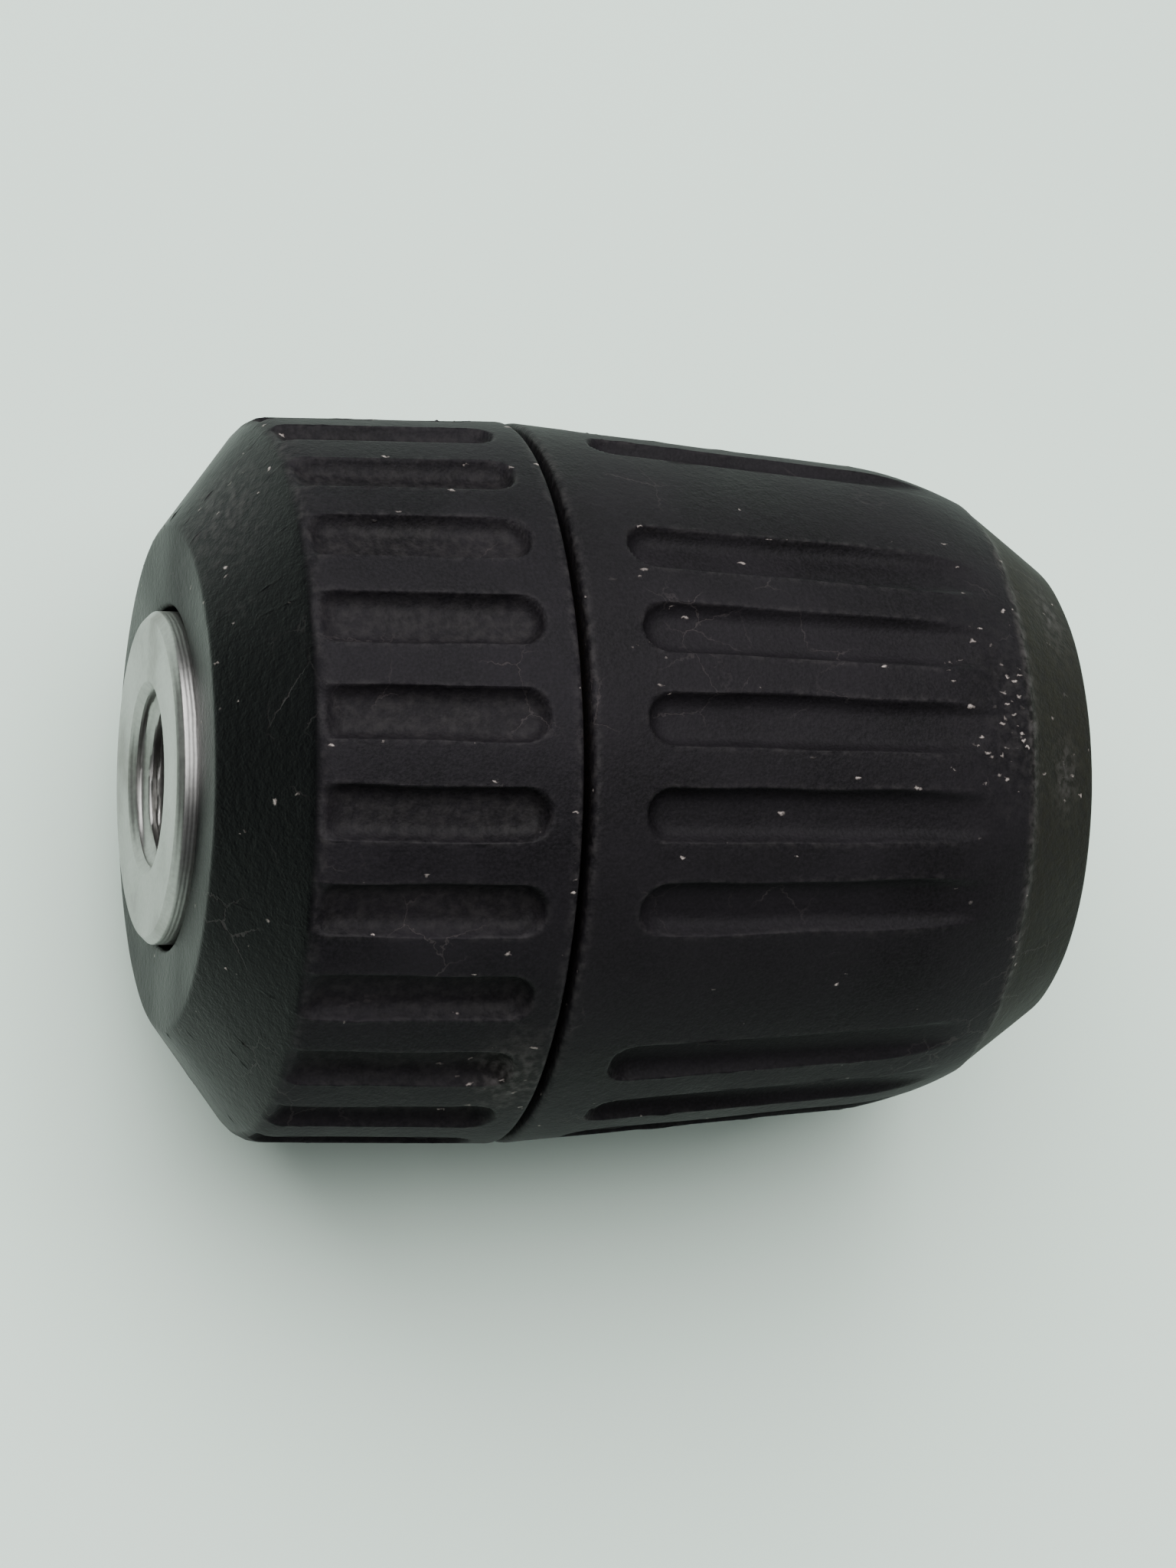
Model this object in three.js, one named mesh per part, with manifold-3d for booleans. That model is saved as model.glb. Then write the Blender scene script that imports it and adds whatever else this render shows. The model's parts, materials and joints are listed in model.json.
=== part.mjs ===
// A 10 mm keyless drill chuck with two sleeves. The front sleeve is turned by hand and
// carries a split nut round with it; the nut's thread drives three jaws along sloping
// bores in the steel body. The rear sleeve is a grip ring fixed to that body.
//
// Millimetres. The origin is the centre of the rear seating face, +X runs along the
// spindle axis to the nose and +Z is up. The jaws are drawn back, at their widest.

import * as THREE from "three";
import { mergeVertices } from "three/addons/utils/BufferGeometryUtils.js";
import Module from "manifold-3d";

const wasm = await Module();
wasm.setup();

// ---- Driving dimensions --------------------------------------------------------------

// Outline of the two sleeves
const LENGTH = 49.6; // rear seating face to nose rim
const GRIP_RADIUS = 19.8; // where the two sleeves meet, the widest place
const SEAM_TO_NOSE = 30.3; // middle of the gap between the sleeves to the nose rim
const SEAM_GAP = 0.5;
const EDGE_BREAK = 0.3; // on the sleeves' edges at the gap
const TAPER_LENGTH = 19; // straight part of the front sleeve, from the middle of the gap
const TAPER_DROP = 1.7;
const DOME_LENGTH = 6.6; // rounded part in front of it
const DOME_DROP = 1.8;
const NOSE_STEP = 0.35; // worn edge between the dome and the nose cone
const NOSE_STEP_LENGTH = 0.4;
const NOSE_CONE_DROP = 3.1;
const RING_SETBACK = 1; // the body's boss stands this far behind the rear sleeve
const RING_NARROWING = 0.15; // the rear sleeve is this much slimmer at its back
const SHOULDER_LENGTH = 4.5; // cone at the back of the rear sleeve
const SHOULDER_DROP = 6;
const SHOULDER_BREAK = 0.5; // its corner with the fluted side is broken this far each way

// Finger flutes
const FLUTE_COUNT = 24; // places round the circle
const FLUTES_PER_GROUP = 6; // on the front sleeve the last place of each group is plain
const FLUTE_WIDTH = 2.9;
const FLUTE_DEPTH = 0.9;
const FLUTE_FIRST_ANGLE = -5; // degrees from +Z towards +Y
const PLAIN_PLACE = 3; // the place left plain in the first group
const RING_FLUTE_FROM_SEAM = 1.9;
const FRONT_FLUTE_FROM_SEAM = 3.3;
const FRONT_FLUTE_END_DEPTH = 0.5; // depth left where the taper ends

// Body
const THREAD_RADIUS = 4.76; // 3/8-24 UNF spindle thread, full radius
const THREAD_DEPTH = 14.5;
const THREAD_CLEARANCE = 0.04;
const PASSAGE_RADIUS = 3.3; // between the spindle socket and the tool bore
const BOSS_RADIUS = 9;
const FLANGE_LENGTH = 5;
const FLANGE_RIM = 0.3; // the flange stands this far outside the ball cage
const GROOVE_BEYOND_NUT = 2; // the groove is this much longer, so that the nut goes in
const JOURNAL_RADIUS = 12.6; // the front sleeve turns on it
const NOSE_RADIUS = 9.8;
const NOSE_CONE_LENGTH = 3.1; // between the journal and the nose
const NOSE_INSET = 0.3; // the body's front face sits this far behind the nose rim
const CHAMFER = 0.4;

// Jaws
const MAX_TOOL = 10;
const MIN_TOOL = 0.8;
const TOOL_CLEARANCE = 0.1; // each jaw opens this much further than the largest tool
const JAW_ANGLE = 15.5; // degrees between a jaw and the chuck's axis
const JAW_RADIUS = 3.3;
const JAW_TIP_OUT = 2.4; // the closed jaws' tips stand this far out of the nose
const APEX_AHEAD = 0.6; // the jaw axes meet this far in front of the closed tips
const TOOTH_PITCH = 1.5;
const TOOTH_DEPTH = 0.7;
const TOOTH_CREST = 0.3; // flat top of a tooth
const TOOTHLESS_TIP = 6; // plain length behind the tip
const BORE_BEYOND_JAWS = 1; // the tool bore goes this far past where the jaws leave it
const JAW_COUNT = 3;

// Nut, its shell, and the thrust bearing
const BEARING_FROM_NOSE = 33; // body flange to nose rim
const WASHER_TO_JAW = 0.175; // the bearing's bore clears the jaws by this much
const WASHER_THICKNESS = 0.8;
const BALL_RADIUS = 1;
const BALL_COUNT = 20;
const POCKET_CLEARANCE = 0.12; // round each ball in the cage
const CAGE_THICKNESS = 0.8;
const CAGE_WALL = 0.38; // between a pocket and the cage's edge
const NUT_LENGTH = 6;
const NUT_WALL = 2.112; // at its rear end, where its bore is widest
const NUT_OVER_BODY = 1.024; // least gap between the nut's bore and the body's groove
const SHELL_THICKNESS = 0.8;
const LUG_COUNT = 3;
const LUG_WIDTH = 5;
const LUG_HEIGHT = 1.3;
const LUG_LENGTH = 4.2;

// Rear sleeve's wall and the steel ring in the nose
const BACK_WALL = 2.4;
const SHOULDER_WALL = 1.8;
const TAIL_CLEARANCE = 0.9; // between the open jaws' tails and that wall
const TAIL_CLEARANCE_ROUND = 0.6; // between the tails and the rear sleeve's bore
const TAIL_CLEARANCE_CONE = 0.5; // between the tails and the inside of its shoulder
const RETAINER_WIDTH = 1.5;
const RETAINER_LENGTH = 2.4;
const LIP_LENGTH = 2.2; // of the front sleeve, held behind the retaining ring

// Clearances
const SEAT_GAP = 0.3; // between pieces that touch or are pressed together
const RUN_GAP = 0.1; // between pieces that roll or slide on each other
const CAGE_RUN = 0.2; // between the cage and what it runs round or inside

// How finely round things are divided
const SLEEVE_ROUND = 48;
const ROUND = 36;
const BORE_ROUND = 20;
const POCKET_ROUND = 8;

// ---- Sizes and places worked out from them -------------------------------------------

const TURN = 2 * Math.PI;
const slope = THREE.MathUtils.degToRad(JAW_ANGLE);
const alongAxis = new THREE.Vector3(Math.cos(slope), 0, -Math.sin(slope));

const seamX = LENGTH - SEAM_TO_NOSE;
const taperEndX = seamX + TAPER_LENGTH;
const domeEndX = taperEndX + DOME_LENGTH;
const taperEndRadius = GRIP_RADIUS - TAPER_DROP;
const domeEndRadius = taperEndRadius - DOME_DROP;
const rimRadius = domeEndRadius - NOSE_STEP - NOSE_CONE_DROP;

const flangeFrontX = LENGTH - BEARING_FROM_NOSE;
const rearWasherX = flangeFrontX + SEAT_GAP;
const ballX = rearWasherX + WASHER_THICKNESS + RUN_GAP + BALL_RADIUS;
const frontWasherX = ballX + BALL_RADIUS + RUN_GAP;
const nutX = frontWasherX + WASHER_THICKNESS + SEAT_GAP;
const nutEndX = nutX + NUT_LENGTH;
const journalX = nutEndX + GROOVE_BEYOND_NUT;
const bodyEndX = LENGTH - NOSE_INSET;
const retainerX = bodyEndX - RETAINER_LENGTH;
const lipX = retainerX - SEAT_GAP - LIP_LENGTH;
const journalEndX = lipX - NOSE_CONE_LENGTH;

const toolBoreRadius = MAX_TOOL / 2 + 2 * TOOL_CLEARANCE;
const jawTravel = ((MAX_TOOL - MIN_TOOL) / 2 + TOOL_CLEARANCE) / Math.sin(slope);
const closedTipX = LENGTH + JAW_TIP_OUT;
const apexX = closedTipX + APEX_AHEAD;
const toolBoreEndX = apexX - (toolBoreRadius + JAW_RADIUS) / Math.tan(slope) - BORE_BEYOND_JAWS;

// Radius of the jaws' outermost line at a place along the chuck.
function jawReach(x) {
  return (apexX - x) * Math.tan(slope) + JAW_RADIUS / Math.cos(slope);
}

// The place along the chuck where the jaws' outermost line has a radius.
function whereJawsReach(radius) {
  return apexX - (radius - JAW_RADIUS / Math.cos(slope)) / Math.tan(slope);
}

// Radius of the nut's tapering bore, which runs over the jaws' teeth.
function nutBore(x) {
  return jawReach(x) + RUN_GAP;
}

const washerInner = jawReach(rearWasherX) + WASHER_TO_JAW;
const ledgeRadius = washerInner - SEAT_GAP;
const cageInner = ledgeRadius + CAGE_RUN;
const pocketRadius = BALL_RADIUS + POCKET_CLEARANCE;
const ballPathRadius = cageInner + CAGE_WALL + pocketRadius;
const cageOuter = ballPathRadius + pocketRadius + CAGE_WALL;
const flangeRadius = cageOuter + FLANGE_RIM;
const bearingRoomRadius = cageOuter + 2 * CAGE_RUN;
const nutRadius = nutBore(nutX) + NUT_WALL;
const grooveRadius = nutBore(nutEndX) - NUT_OVER_BODY;
const shellInner = nutRadius + SEAT_GAP;
const shellOuter = shellInner + SHELL_THICKNESS;
const retainerInner = NOSE_RADIUS + SEAT_GAP;
const retainerOuter = retainerInner + RETAINER_WIDTH;
const backWallX = RING_SETBACK + BACK_WALL;
const rearBoreRadius = flangeRadius + SEAT_GAP;

// The rear sleeve's shoulder is a cone outside and inside.
const shoulderFaceRadius = GRIP_RADIUS - RING_NARROWING - SHOULDER_DROP;
const shoulderSpread = SHOULDER_LENGTH / SHOULDER_DROP; // along the chuck per mm of radius
const shoulderWallX = SHOULDER_WALL * Math.hypot(1, shoulderSpread); // its wall, along the chuck

// The place along the chuck where the inside of the shoulder has a radius.
function insideShoulderX(radius) {
  return RING_SETBACK + shoulderWallX + (radius - shoulderFaceRadius) * shoulderSpread;
}

// The open jaws' tails stop short of the back wall, of the inside of the shoulder and of
// the rear sleeve's bore, whichever they come to first.
const tailDepth = JAW_RADIUS * Math.sin(slope);
const tailCornerX = (insideShoulderX(jawReach(0)) + TAIL_CLEARANCE_CONE)
  / (1 + Math.tan(slope) * shoulderSpread);
const tailInsideShoulderX = tailCornerX - tailDepth;
const tailBeforeWallX = backWallX + TAIL_CLEARANCE + tailDepth;
const tailInsideBoreX = whereJawsReach(rearBoreRadius - TAIL_CLEARANCE_ROUND) - tailDepth;
const openTailX = Math.max(tailBeforeWallX, tailInsideShoulderX, tailInsideBoreX);
const closedTailX = openTailX + jawTravel * Math.cos(slope);
const tailToApex = (apexX - closedTailX) / Math.cos(slope);

// ---- Materials -----------------------------------------------------------------------

function finish(color, roughness, metalness) {
  return new THREE.MeshStandardMaterial({ color, roughness, metalness });
}

const finishes = {
  plastic: finish(0x1d1c20, 0.62, 0),
  body: finish(0x6f7072, 0.42, 1),
  jaw: finish(0x55565a, 0.35, 1),
  nut: finish(0x3b3c3f, 0.5, 1),
  bearing: finish(0xa9abae, 0.2, 1),
  cage: finish(0x7c6a45, 0.45, 1),
};

// ---- Building blocks -----------------------------------------------------------------

// A closed mesh as a solid that can be joined and cut.
function solid(geometry) {
  const bare = geometry.clone();
  bare.deleteAttribute("normal");
  bare.deleteAttribute("uv");
  const merged = mergeVertices(bare, 1e-4);
  const triangles = [];
  const index = merged.index.array;
  for (let i = 0; i < index.length; i += 3) {
    const [a, b, c] = index.slice(i, i + 3);
    if (a !== b && b !== c && c !== a) triangles.push(a, b, c);
  }
  const vertProperties = merged.attributes.position.array;
  const triVerts = new Uint32Array(triangles);
  return new wasm.Manifold(new wasm.Mesh({ numProp: 3, vertProperties, triVerts }));
}

// A solid's surface as a three.js geometry.
function surface(body) {
  const { vertProperties, triVerts } = body.getMesh();
  const geometry = new THREE.BufferGeometry();
  geometry.setAttribute("position", new THREE.BufferAttribute(vertProperties, 3));
  geometry.setIndex(new THREE.BufferAttribute(triVerts, 1));
  geometry.computeVertexNormals();
  return geometry;
}

// A ring turned about the X axis from a closed outline of [x, radius] points. The
// outline runs forwards along the outside and back along the inside.
function turned(outline, divisions = ROUND) {
  const points = outline.map(([x, radius]) => new THREE.Vector2(radius, x));
  points.push(points[0].clone());
  return solid(new THREE.LatheGeometry(points, divisions).rotateZ(-Math.PI / 2));
}

// A plain ring between two radii.
function ring(x, length, inner, outer) {
  const end = x + length;
  return turned([[x, inner], [x, outer], [end, outer], [end, inner]]);
}

// A box that stands outwards from the axis at an angle about X, measured from +Z.
function outwardBox(x, length, width, inner, outer, angle) {
  const box = new THREE.BoxGeometry(length, width, outer - inner);
  box.translate(x + length / 2, 0, (inner + outer) / 2);
  return solid(box.rotateX(-angle));
}

function cutAll(body, cutters) {
  return cutters.reduce((rest, cutter) => rest.subtract(cutter), body);
}

function everyTurn(count, make) {
  return Array.from({ length: count }, (_, k) => make((k * TURN) / count, k));
}

// ---- Sleeves -------------------------------------------------------------------------

// A flute: a slot with a flat floor, round at its closed end. It runs from there to a
// place where it has left the sleeve, and its floor joins the radii given for both ends.
function flute(closedX, openX, closedFloor, openFloor, angle) {
  const half = FLUTE_WIDTH / 2;
  const run = Math.hypot(openX - closedX, closedFloor - openFloor);
  const outline = new THREE.Shape();
  outline.absarc(half, 0, half, Math.PI / 2, (3 * Math.PI) / 2);
  outline.lineTo(run, -half);
  outline.lineTo(run, half);
  outline.closePath();
  const depth = GRIP_RADIUS - Math.min(closedFloor, openFloor) + FLUTE_DEPTH;
  const slot = new THREE.ExtrudeGeometry(outline, { depth, curveSegments: 4, bevelEnabled: false });
  slot.rotateY(Math.atan2(closedFloor - openFloor, Math.abs(openX - closedX)));
  if (openX < closedX) slot.rotateZ(Math.PI);
  return solid(slot.translate(closedX, 0, closedFloor).rotateX(-angle));
}

function fluteAngle(place) {
  return THREE.MathUtils.degToRad(FLUTE_FIRST_ANGLE) + (place * TURN) / FLUTE_COUNT;
}

// Outline of the dome: it leaves the taper smoothly and curves in evenly.
function domeOutline(points = 3) {
  const taperSlope = TAPER_DROP / TAPER_LENGTH;
  const curve = (DOME_DROP - taperSlope * DOME_LENGTH) / DOME_LENGTH ** 2;
  return Array.from({ length: points + 1 }, (_, i) => {
    const along = (i * DOME_LENGTH) / points;
    const drop = taperSlope * along + curve * along ** 2;
    return [taperEndX + along, taperEndRadius - drop];
  });
}

// The front sleeve's flutes run out where the dome falls below their floors.
function frontFlutes() {
  const closedX = seamX + FRONT_FLUTE_FROM_SEAM;
  const openX = domeEndX + FLUTE_WIDTH;
  const closedDrop = (TAPER_DROP * FRONT_FLUTE_FROM_SEAM) / TAPER_LENGTH;
  const closedFloor = GRIP_RADIUS - closedDrop - FLUTE_DEPTH;
  const endFloor = taperEndRadius - FRONT_FLUTE_END_DEPTH;
  const floorSlope = (closedFloor - endFloor) / (taperEndX - closedX);
  const openFloor = closedFloor - floorSlope * (openX - closedX);
  const places = [...Array(FLUTE_COUNT).keys()];
  return places
    .filter((place) => place % FLUTES_PER_GROUP !== PLAIN_PLACE)
    .map((place) => flute(closedX, openX, closedFloor, openFloor, fluteAngle(place)));
}

function frontSleeve() {
  const rearX = seamX + SEAM_GAP / 2;
  const rearRadius = GRIP_RADIUS - (TAPER_DROP * SEAM_GAP) / 2 / TAPER_LENGTH;
  const shellRoom = shellOuter + SEAT_GAP;
  const journalRoom = JOURNAL_RADIUS + SEAT_GAP;
  const shoulderX = nutEndX + SHELL_THICKNESS + 2 * SEAT_GAP;
  const sleeve = turned([
    [rearX, rearRadius - EDGE_BREAK],
    [rearX + EDGE_BREAK, rearRadius],
    ...domeOutline(),
    [domeEndX + NOSE_STEP_LENGTH, domeEndRadius - NOSE_STEP],
    [LENGTH, rimRadius],
    [LENGTH, retainerOuter + SEAT_GAP],
    [retainerX - SEAT_GAP, retainerOuter + SEAT_GAP],
    [retainerX - SEAT_GAP, retainerInner],
    [lipX, retainerInner],
    [journalEndX, journalRoom],
    [shoulderX, journalRoom],
    [shoulderX, shellRoom],
    [nutX, shellRoom],
    [nutX, bearingRoomRadius],
    [rearX, bearingRoomRadius],
  ], SLEEVE_ROUND);
  const lugRoom = shellOuter + LUG_HEIGHT + SEAT_GAP;
  const slotLength = lugX() + LUG_LENGTH + SEAT_GAP - rearX;
  const slots = everyTurn(LUG_COUNT, (angle) =>
    outwardBox(rearX, slotLength, LUG_WIDTH + 2 * SEAT_GAP, JOURNAL_RADIUS, lugRoom, angle),
  );
  return cutAll(sleeve, [...frontFlutes(), ...slots]);
}

// Outline of the rear sleeve's conical shoulder, from the back face out to the flutes.
function shoulderOutline(backRadius) {
  const start = new THREE.Vector2(RING_SETBACK, shoulderFaceRadius);
  const corner = new THREE.Vector2(RING_SETBACK + SHOULDER_LENGTH, backRadius);
  const before = start.clone().sub(corner).setLength(SHOULDER_BREAK).add(corner);
  return [start.toArray(), before.toArray(), [corner.x + SHOULDER_BREAK, backRadius]];
}

// Outline of the rear sleeve's inside, from its bore to the hole for the boss.
function rearSleeveInside() {
  const boreEndX = insideShoulderX(rearBoreRadius);
  const wallRadius = rearBoreRadius - (boreEndX - backWallX) / shoulderSpread;
  const corner = boreEndX > backWallX
    ? [[boreEndX, rearBoreRadius], [backWallX, wallRadius]]
    : [[backWallX, rearBoreRadius]];
  return [...corner, [backWallX, BOSS_RADIUS + SEAT_GAP]];
}

function rearSleeve() {
  const frontX = seamX - SEAM_GAP / 2;
  const backRadius = GRIP_RADIUS - RING_NARROWING;
  const body = turned([
    [RING_SETBACK, BOSS_RADIUS + SEAT_GAP],
    ...shoulderOutline(backRadius),
    [frontX - EDGE_BREAK, GRIP_RADIUS],
    [frontX, GRIP_RADIUS - EDGE_BREAK],
    [frontX, rearBoreRadius],
    ...rearSleeveInside(),
  ], SLEEVE_ROUND);
  const floor = GRIP_RADIUS - FLUTE_DEPTH;
  const closedX = seamX - RING_FLUTE_FROM_SEAM;
  const openX = RING_SETBACK - FLUTE_WIDTH;
  const flutes = everyTurn(FLUTE_COUNT, (_, place) =>
    flute(closedX, openX, floor, floor, fluteAngle(place)),
  );
  return cutAll(body, flutes);
}

// ---- Body ----------------------------------------------------------------------------

// A round bar on a jaw's sloping axis, from one distance behind the apex to another.
function barOnJawAxis(radius, fromApex, toApex, divisions) {
  const bar = new THREE.CylinderGeometry(radius, radius, toApex - fromApex, divisions);
  bar.rotateZ(-Math.PI / 2).translate(-(fromApex + toApex) / 2, 0, 0);
  return bar.rotateY(slope).translate(apexX, 0, 0);
}

function chuckBody() {
  const socketRadius = THREAD_RADIUS + THREAD_CLEARANCE;
  const flangeX = flangeFrontX - FLANGE_LENGTH;
  const passageX = THREAD_DEPTH + socketRadius - PASSAGE_RADIUS;
  const body = turned([
    [0, socketRadius + CHAMFER],
    [0, BOSS_RADIUS - CHAMFER],
    [CHAMFER, BOSS_RADIUS],
    [flangeX, BOSS_RADIUS],
    [flangeX, flangeRadius - CHAMFER],
    [flangeX + CHAMFER, flangeRadius],
    [flangeFrontX - CHAMFER, flangeRadius],
    [flangeFrontX, flangeRadius - CHAMFER],
    [flangeFrontX, ledgeRadius],
    [nutX - SEAT_GAP, ledgeRadius],
    [nutX - SEAT_GAP, grooveRadius],
    [journalX, grooveRadius],
    [journalX, JOURNAL_RADIUS],
    [journalEndX, JOURNAL_RADIUS],
    [lipX, NOSE_RADIUS],
    [bodyEndX - CHAMFER, NOSE_RADIUS],
    [bodyEndX, NOSE_RADIUS - CHAMFER],
    [bodyEndX, toolBoreRadius + CHAMFER],
    [bodyEndX - CHAMFER, toolBoreRadius],
    [toolBoreEndX, toolBoreRadius],
    [toolBoreEndX - (toolBoreRadius - PASSAGE_RADIUS), PASSAGE_RADIUS],
    [passageX, PASSAGE_RADIUS],
    [THREAD_DEPTH, socketRadius],
    [CHAMFER, socketRadius],
  ]);
  const flatToFlat = 1 / Math.cos(Math.PI / BORE_ROUND);
  const radius = (JAW_RADIUS + RUN_GAP) * flatToFlat;
  const bar = barOnJawAxis(radius, -JAW_RADIUS, apexX / Math.cos(slope), BORE_ROUND);
  const bores = everyTurn(JAW_COUNT, (angle) => solid(bar.clone().rotateX(angle)));
  return cutAll(body, bores);
}

// ---- Jaws ----------------------------------------------------------------------------

// The space that one closed jaw may fill near the chuck's axis: a wedge with a narrow
// gripping land, which leaves the same room to the jaws on either side.
function gripWedge() {
  const land = MIN_TOOL / 2;
  const halfAngle = TURN / JAW_COUNT / 2;
  const reach = 4 * JAW_RADIUS + GRIP_RADIUS;
  const halfLand = (land - RUN_GAP) * Math.tan(halfAngle);
  const rise = (reach - halfLand) / Math.tan(halfAngle);
  const outline = new THREE.Shape();
  outline.moveTo(-halfLand, land);
  outline.lineTo(halfLand, land);
  outline.lineTo(reach, land + rise);
  outline.lineTo(reach, 2 * reach);
  outline.lineTo(-reach, 2 * reach);
  outline.lineTo(-reach, land + rise);
  const length = closedTipX;
  const wedge = new THREE.ExtrudeGeometry(outline, { depth: length, bevelEnabled: false });
  wedge.rotateX(Math.PI / 2).rotateZ(Math.PI / 2);
  return solid(wedge);
}

// The spaces between the teeth, as one comb. Each jaw's teeth are a third of a pitch
// further on, so that all three follow the nut's one thread.
function toothComb(offset) {
  const inner = JAW_RADIUS - TOOTH_DEPTH;
  const outer = JAW_RADIUS + TOOTH_DEPTH;
  const foot = TOOTH_CREST / 2;
  const mouth = (TOOTH_PITCH - TOOTH_CREST) / 2;
  const lean = (mouth - foot) / TOOTH_DEPTH;
  const wide = mouth + lean * TOOTH_DEPTH;
  const spaces = Math.floor((tailToApex - APEX_AHEAD - TOOTHLESS_TIP) / TOOTH_PITCH);
  const cutters = [];
  for (let n = 0; n < spaces; n += 1) {
    const middle = -tailToApex + (n + 0.5) * TOOTH_PITCH + offset;
    const outline = new THREE.Shape();
    outline.moveTo(middle - foot, inner);
    outline.lineTo(middle + foot, inner);
    outline.lineTo(middle + wide, outer);
    outline.lineTo(middle - wide, outer);
    const cutter = new THREE.ExtrudeGeometry(outline, { depth: 4 * JAW_RADIUS, bevelEnabled: false });
    cutter.translate(0, 0, -2 * JAW_RADIUS).rotateX(Math.PI / 2);
    cutters.push(solid(cutter.rotateY(slope).translate(apexX, 0, 0)));
  }
  return cutters;
}

// A jaw in its closed place, on the +Z side of the axis.
function jaw(number) {
  const bar = solid(barOnJawAxis(JAW_RADIUS, -JAW_RADIUS, tailToApex, BORE_ROUND));
  const offset = ((number - 1) * TOOTH_PITCH) / JAW_COUNT;
  return cutAll(bar.intersect(gripWedge()), toothComb(offset));
}

// ---- Nut and bearing -----------------------------------------------------------------

// One half of the nut. It is cracked in two so that it goes round the body.
function nutHalf(side) {
  const nut = turned([
    [nutX, nutBore(nutX)],
    [nutX, nutRadius - CHAMFER],
    [nutX + CHAMFER, nutRadius],
    [nutEndX - CHAMFER, nutRadius],
    [nutEndX, nutRadius - CHAMFER],
    [nutEndX, nutBore(nutEndX)],
  ]);
  const box = new THREE.BoxGeometry(2 * NUT_LENGTH, 2 * nutRadius, 4 * nutRadius);
  box.translate((nutX + nutEndX) / 2, -side * (nutRadius - SEAT_GAP / 2), 0);
  return nut.subtract(solid(box));
}

function lugX() {
  return nutX + SHELL_THICKNESS;
}

function nutShell() {
  const lipInner = (nutBore(nutEndX) + nutRadius) / 2;
  const endX = nutEndX + SEAT_GAP + SHELL_THICKNESS;
  const shell = turned([
    [nutX, shellInner],
    [nutX, shellOuter],
    [endX, shellOuter],
    [endX, lipInner],
    [nutEndX + SEAT_GAP, lipInner],
    [nutEndX + SEAT_GAP, shellInner],
  ]);
  const middle = (shellInner + shellOuter) / 2;
  const lugs = everyTurn(LUG_COUNT, (angle) =>
    outwardBox(lugX(), LUG_LENGTH, LUG_WIDTH, middle, shellOuter + LUG_HEIGHT, angle),
  );
  return lugs.reduce((whole, lug) => whole.add(lug), shell);
}

function ballCage() {
  const plate = ring(ballX - CAGE_THICKNESS / 2, CAGE_THICKNESS, cageInner, cageOuter);
  const pocket = new THREE.CylinderGeometry(
    pocketRadius, pocketRadius, 3 * CAGE_THICKNESS, POCKET_ROUND,
  );
  pocket.rotateZ(-Math.PI / 2).translate(ballX, 0, ballPathRadius);
  const pockets = everyTurn(BALL_COUNT, (angle) => solid(pocket.clone().rotateX(-angle)));
  return cutAll(plate, pockets);
}

// ---- Assembly ------------------------------------------------------------------------

const chuck = new THREE.Group();

function place(name, geometry, material, parent = chuck) {
  const mesh = new THREE.Mesh(geometry, material);
  mesh.name = name;
  parent.add(mesh);
  return mesh;
}

function placeFixed(name, body, material) {
  return place(name, surface(body), material);
}

function placeJaw(number) {
  const turn = new THREE.Group();
  turn.rotation.x = ((number - 1) * TURN) / JAW_COUNT;
  chuck.add(turn);
  const mesh = place(`jaw_${number}`, surface(jaw(number)), finishes.jaw, turn);
  mesh.position.copy(alongAxis).multiplyScalar(-jawTravel);
}

function placeBall(number) {
  const angle = ((number - 1) * TURN) / BALL_COUNT;
  const name = `bearing_ball_${String(number).padStart(2, "0")}`;
  const mesh = place(name, new THREE.IcosahedronGeometry(BALL_RADIUS, 1), finishes.bearing);
  mesh.position.set(ballX, ballPathRadius * Math.sin(angle), ballPathRadius * Math.cos(angle));
}

placeFixed("chuck_body", chuckBody(), finishes.body);
placeFixed("rear_sleeve", rearSleeve(), finishes.plastic);
placeFixed("front_sleeve", frontSleeve(), finishes.plastic);
const retainer = ring(retainerX, RETAINER_LENGTH, retainerInner, retainerOuter);
placeFixed("nose_ring", retainer, finishes.body);
placeFixed("nut_half_a", nutHalf(1), finishes.nut);
placeFixed("nut_half_b", nutHalf(-1), finishes.nut);
placeFixed("nut_shell", nutShell(), finishes.nut);
const rearWasher = ring(rearWasherX, WASHER_THICKNESS, washerInner, cageOuter);
placeFixed("thrust_washer_rear", rearWasher, finishes.bearing);
const frontWasher = ring(frontWasherX, WASHER_THICKNESS, washerInner, cageOuter);
placeFixed("thrust_washer_front", frontWasher, finishes.bearing);
placeFixed("ball_cage", ballCage(), finishes.cage);
for (let number = 1; number <= JAW_COUNT; number += 1) placeJaw(number);
for (let number = 1; number <= BALL_COUNT; number += 1) placeBall(number);

export default chuck;
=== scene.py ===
# %% [markdown]
# # A keyless drill chuck
# The real object holds a drill bit. The hand turns the front sleeve, a nut turns with it,
# and the nut's thread pushes three steel jaws down sloping bores until they grip. Outside
# there are two black plastic sleeves; everything else is steel, with a brass ball cage.
#
# The lesson builds a fine surface for each piece. A chuck is nearly all turned or moulded
# round an axis, so almost every surface here is one idea: an outline in (x, radius) swept
# round the X axis, with the radius then changed by a formula where flutes, lugs, threads
# or wear need it. That beats modelling by hand, because a size stays a number.

# %% Load the frame
import json
import math

import bmesh
import bpy
import numpy as np
from mathutils import Matrix, Vector

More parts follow.
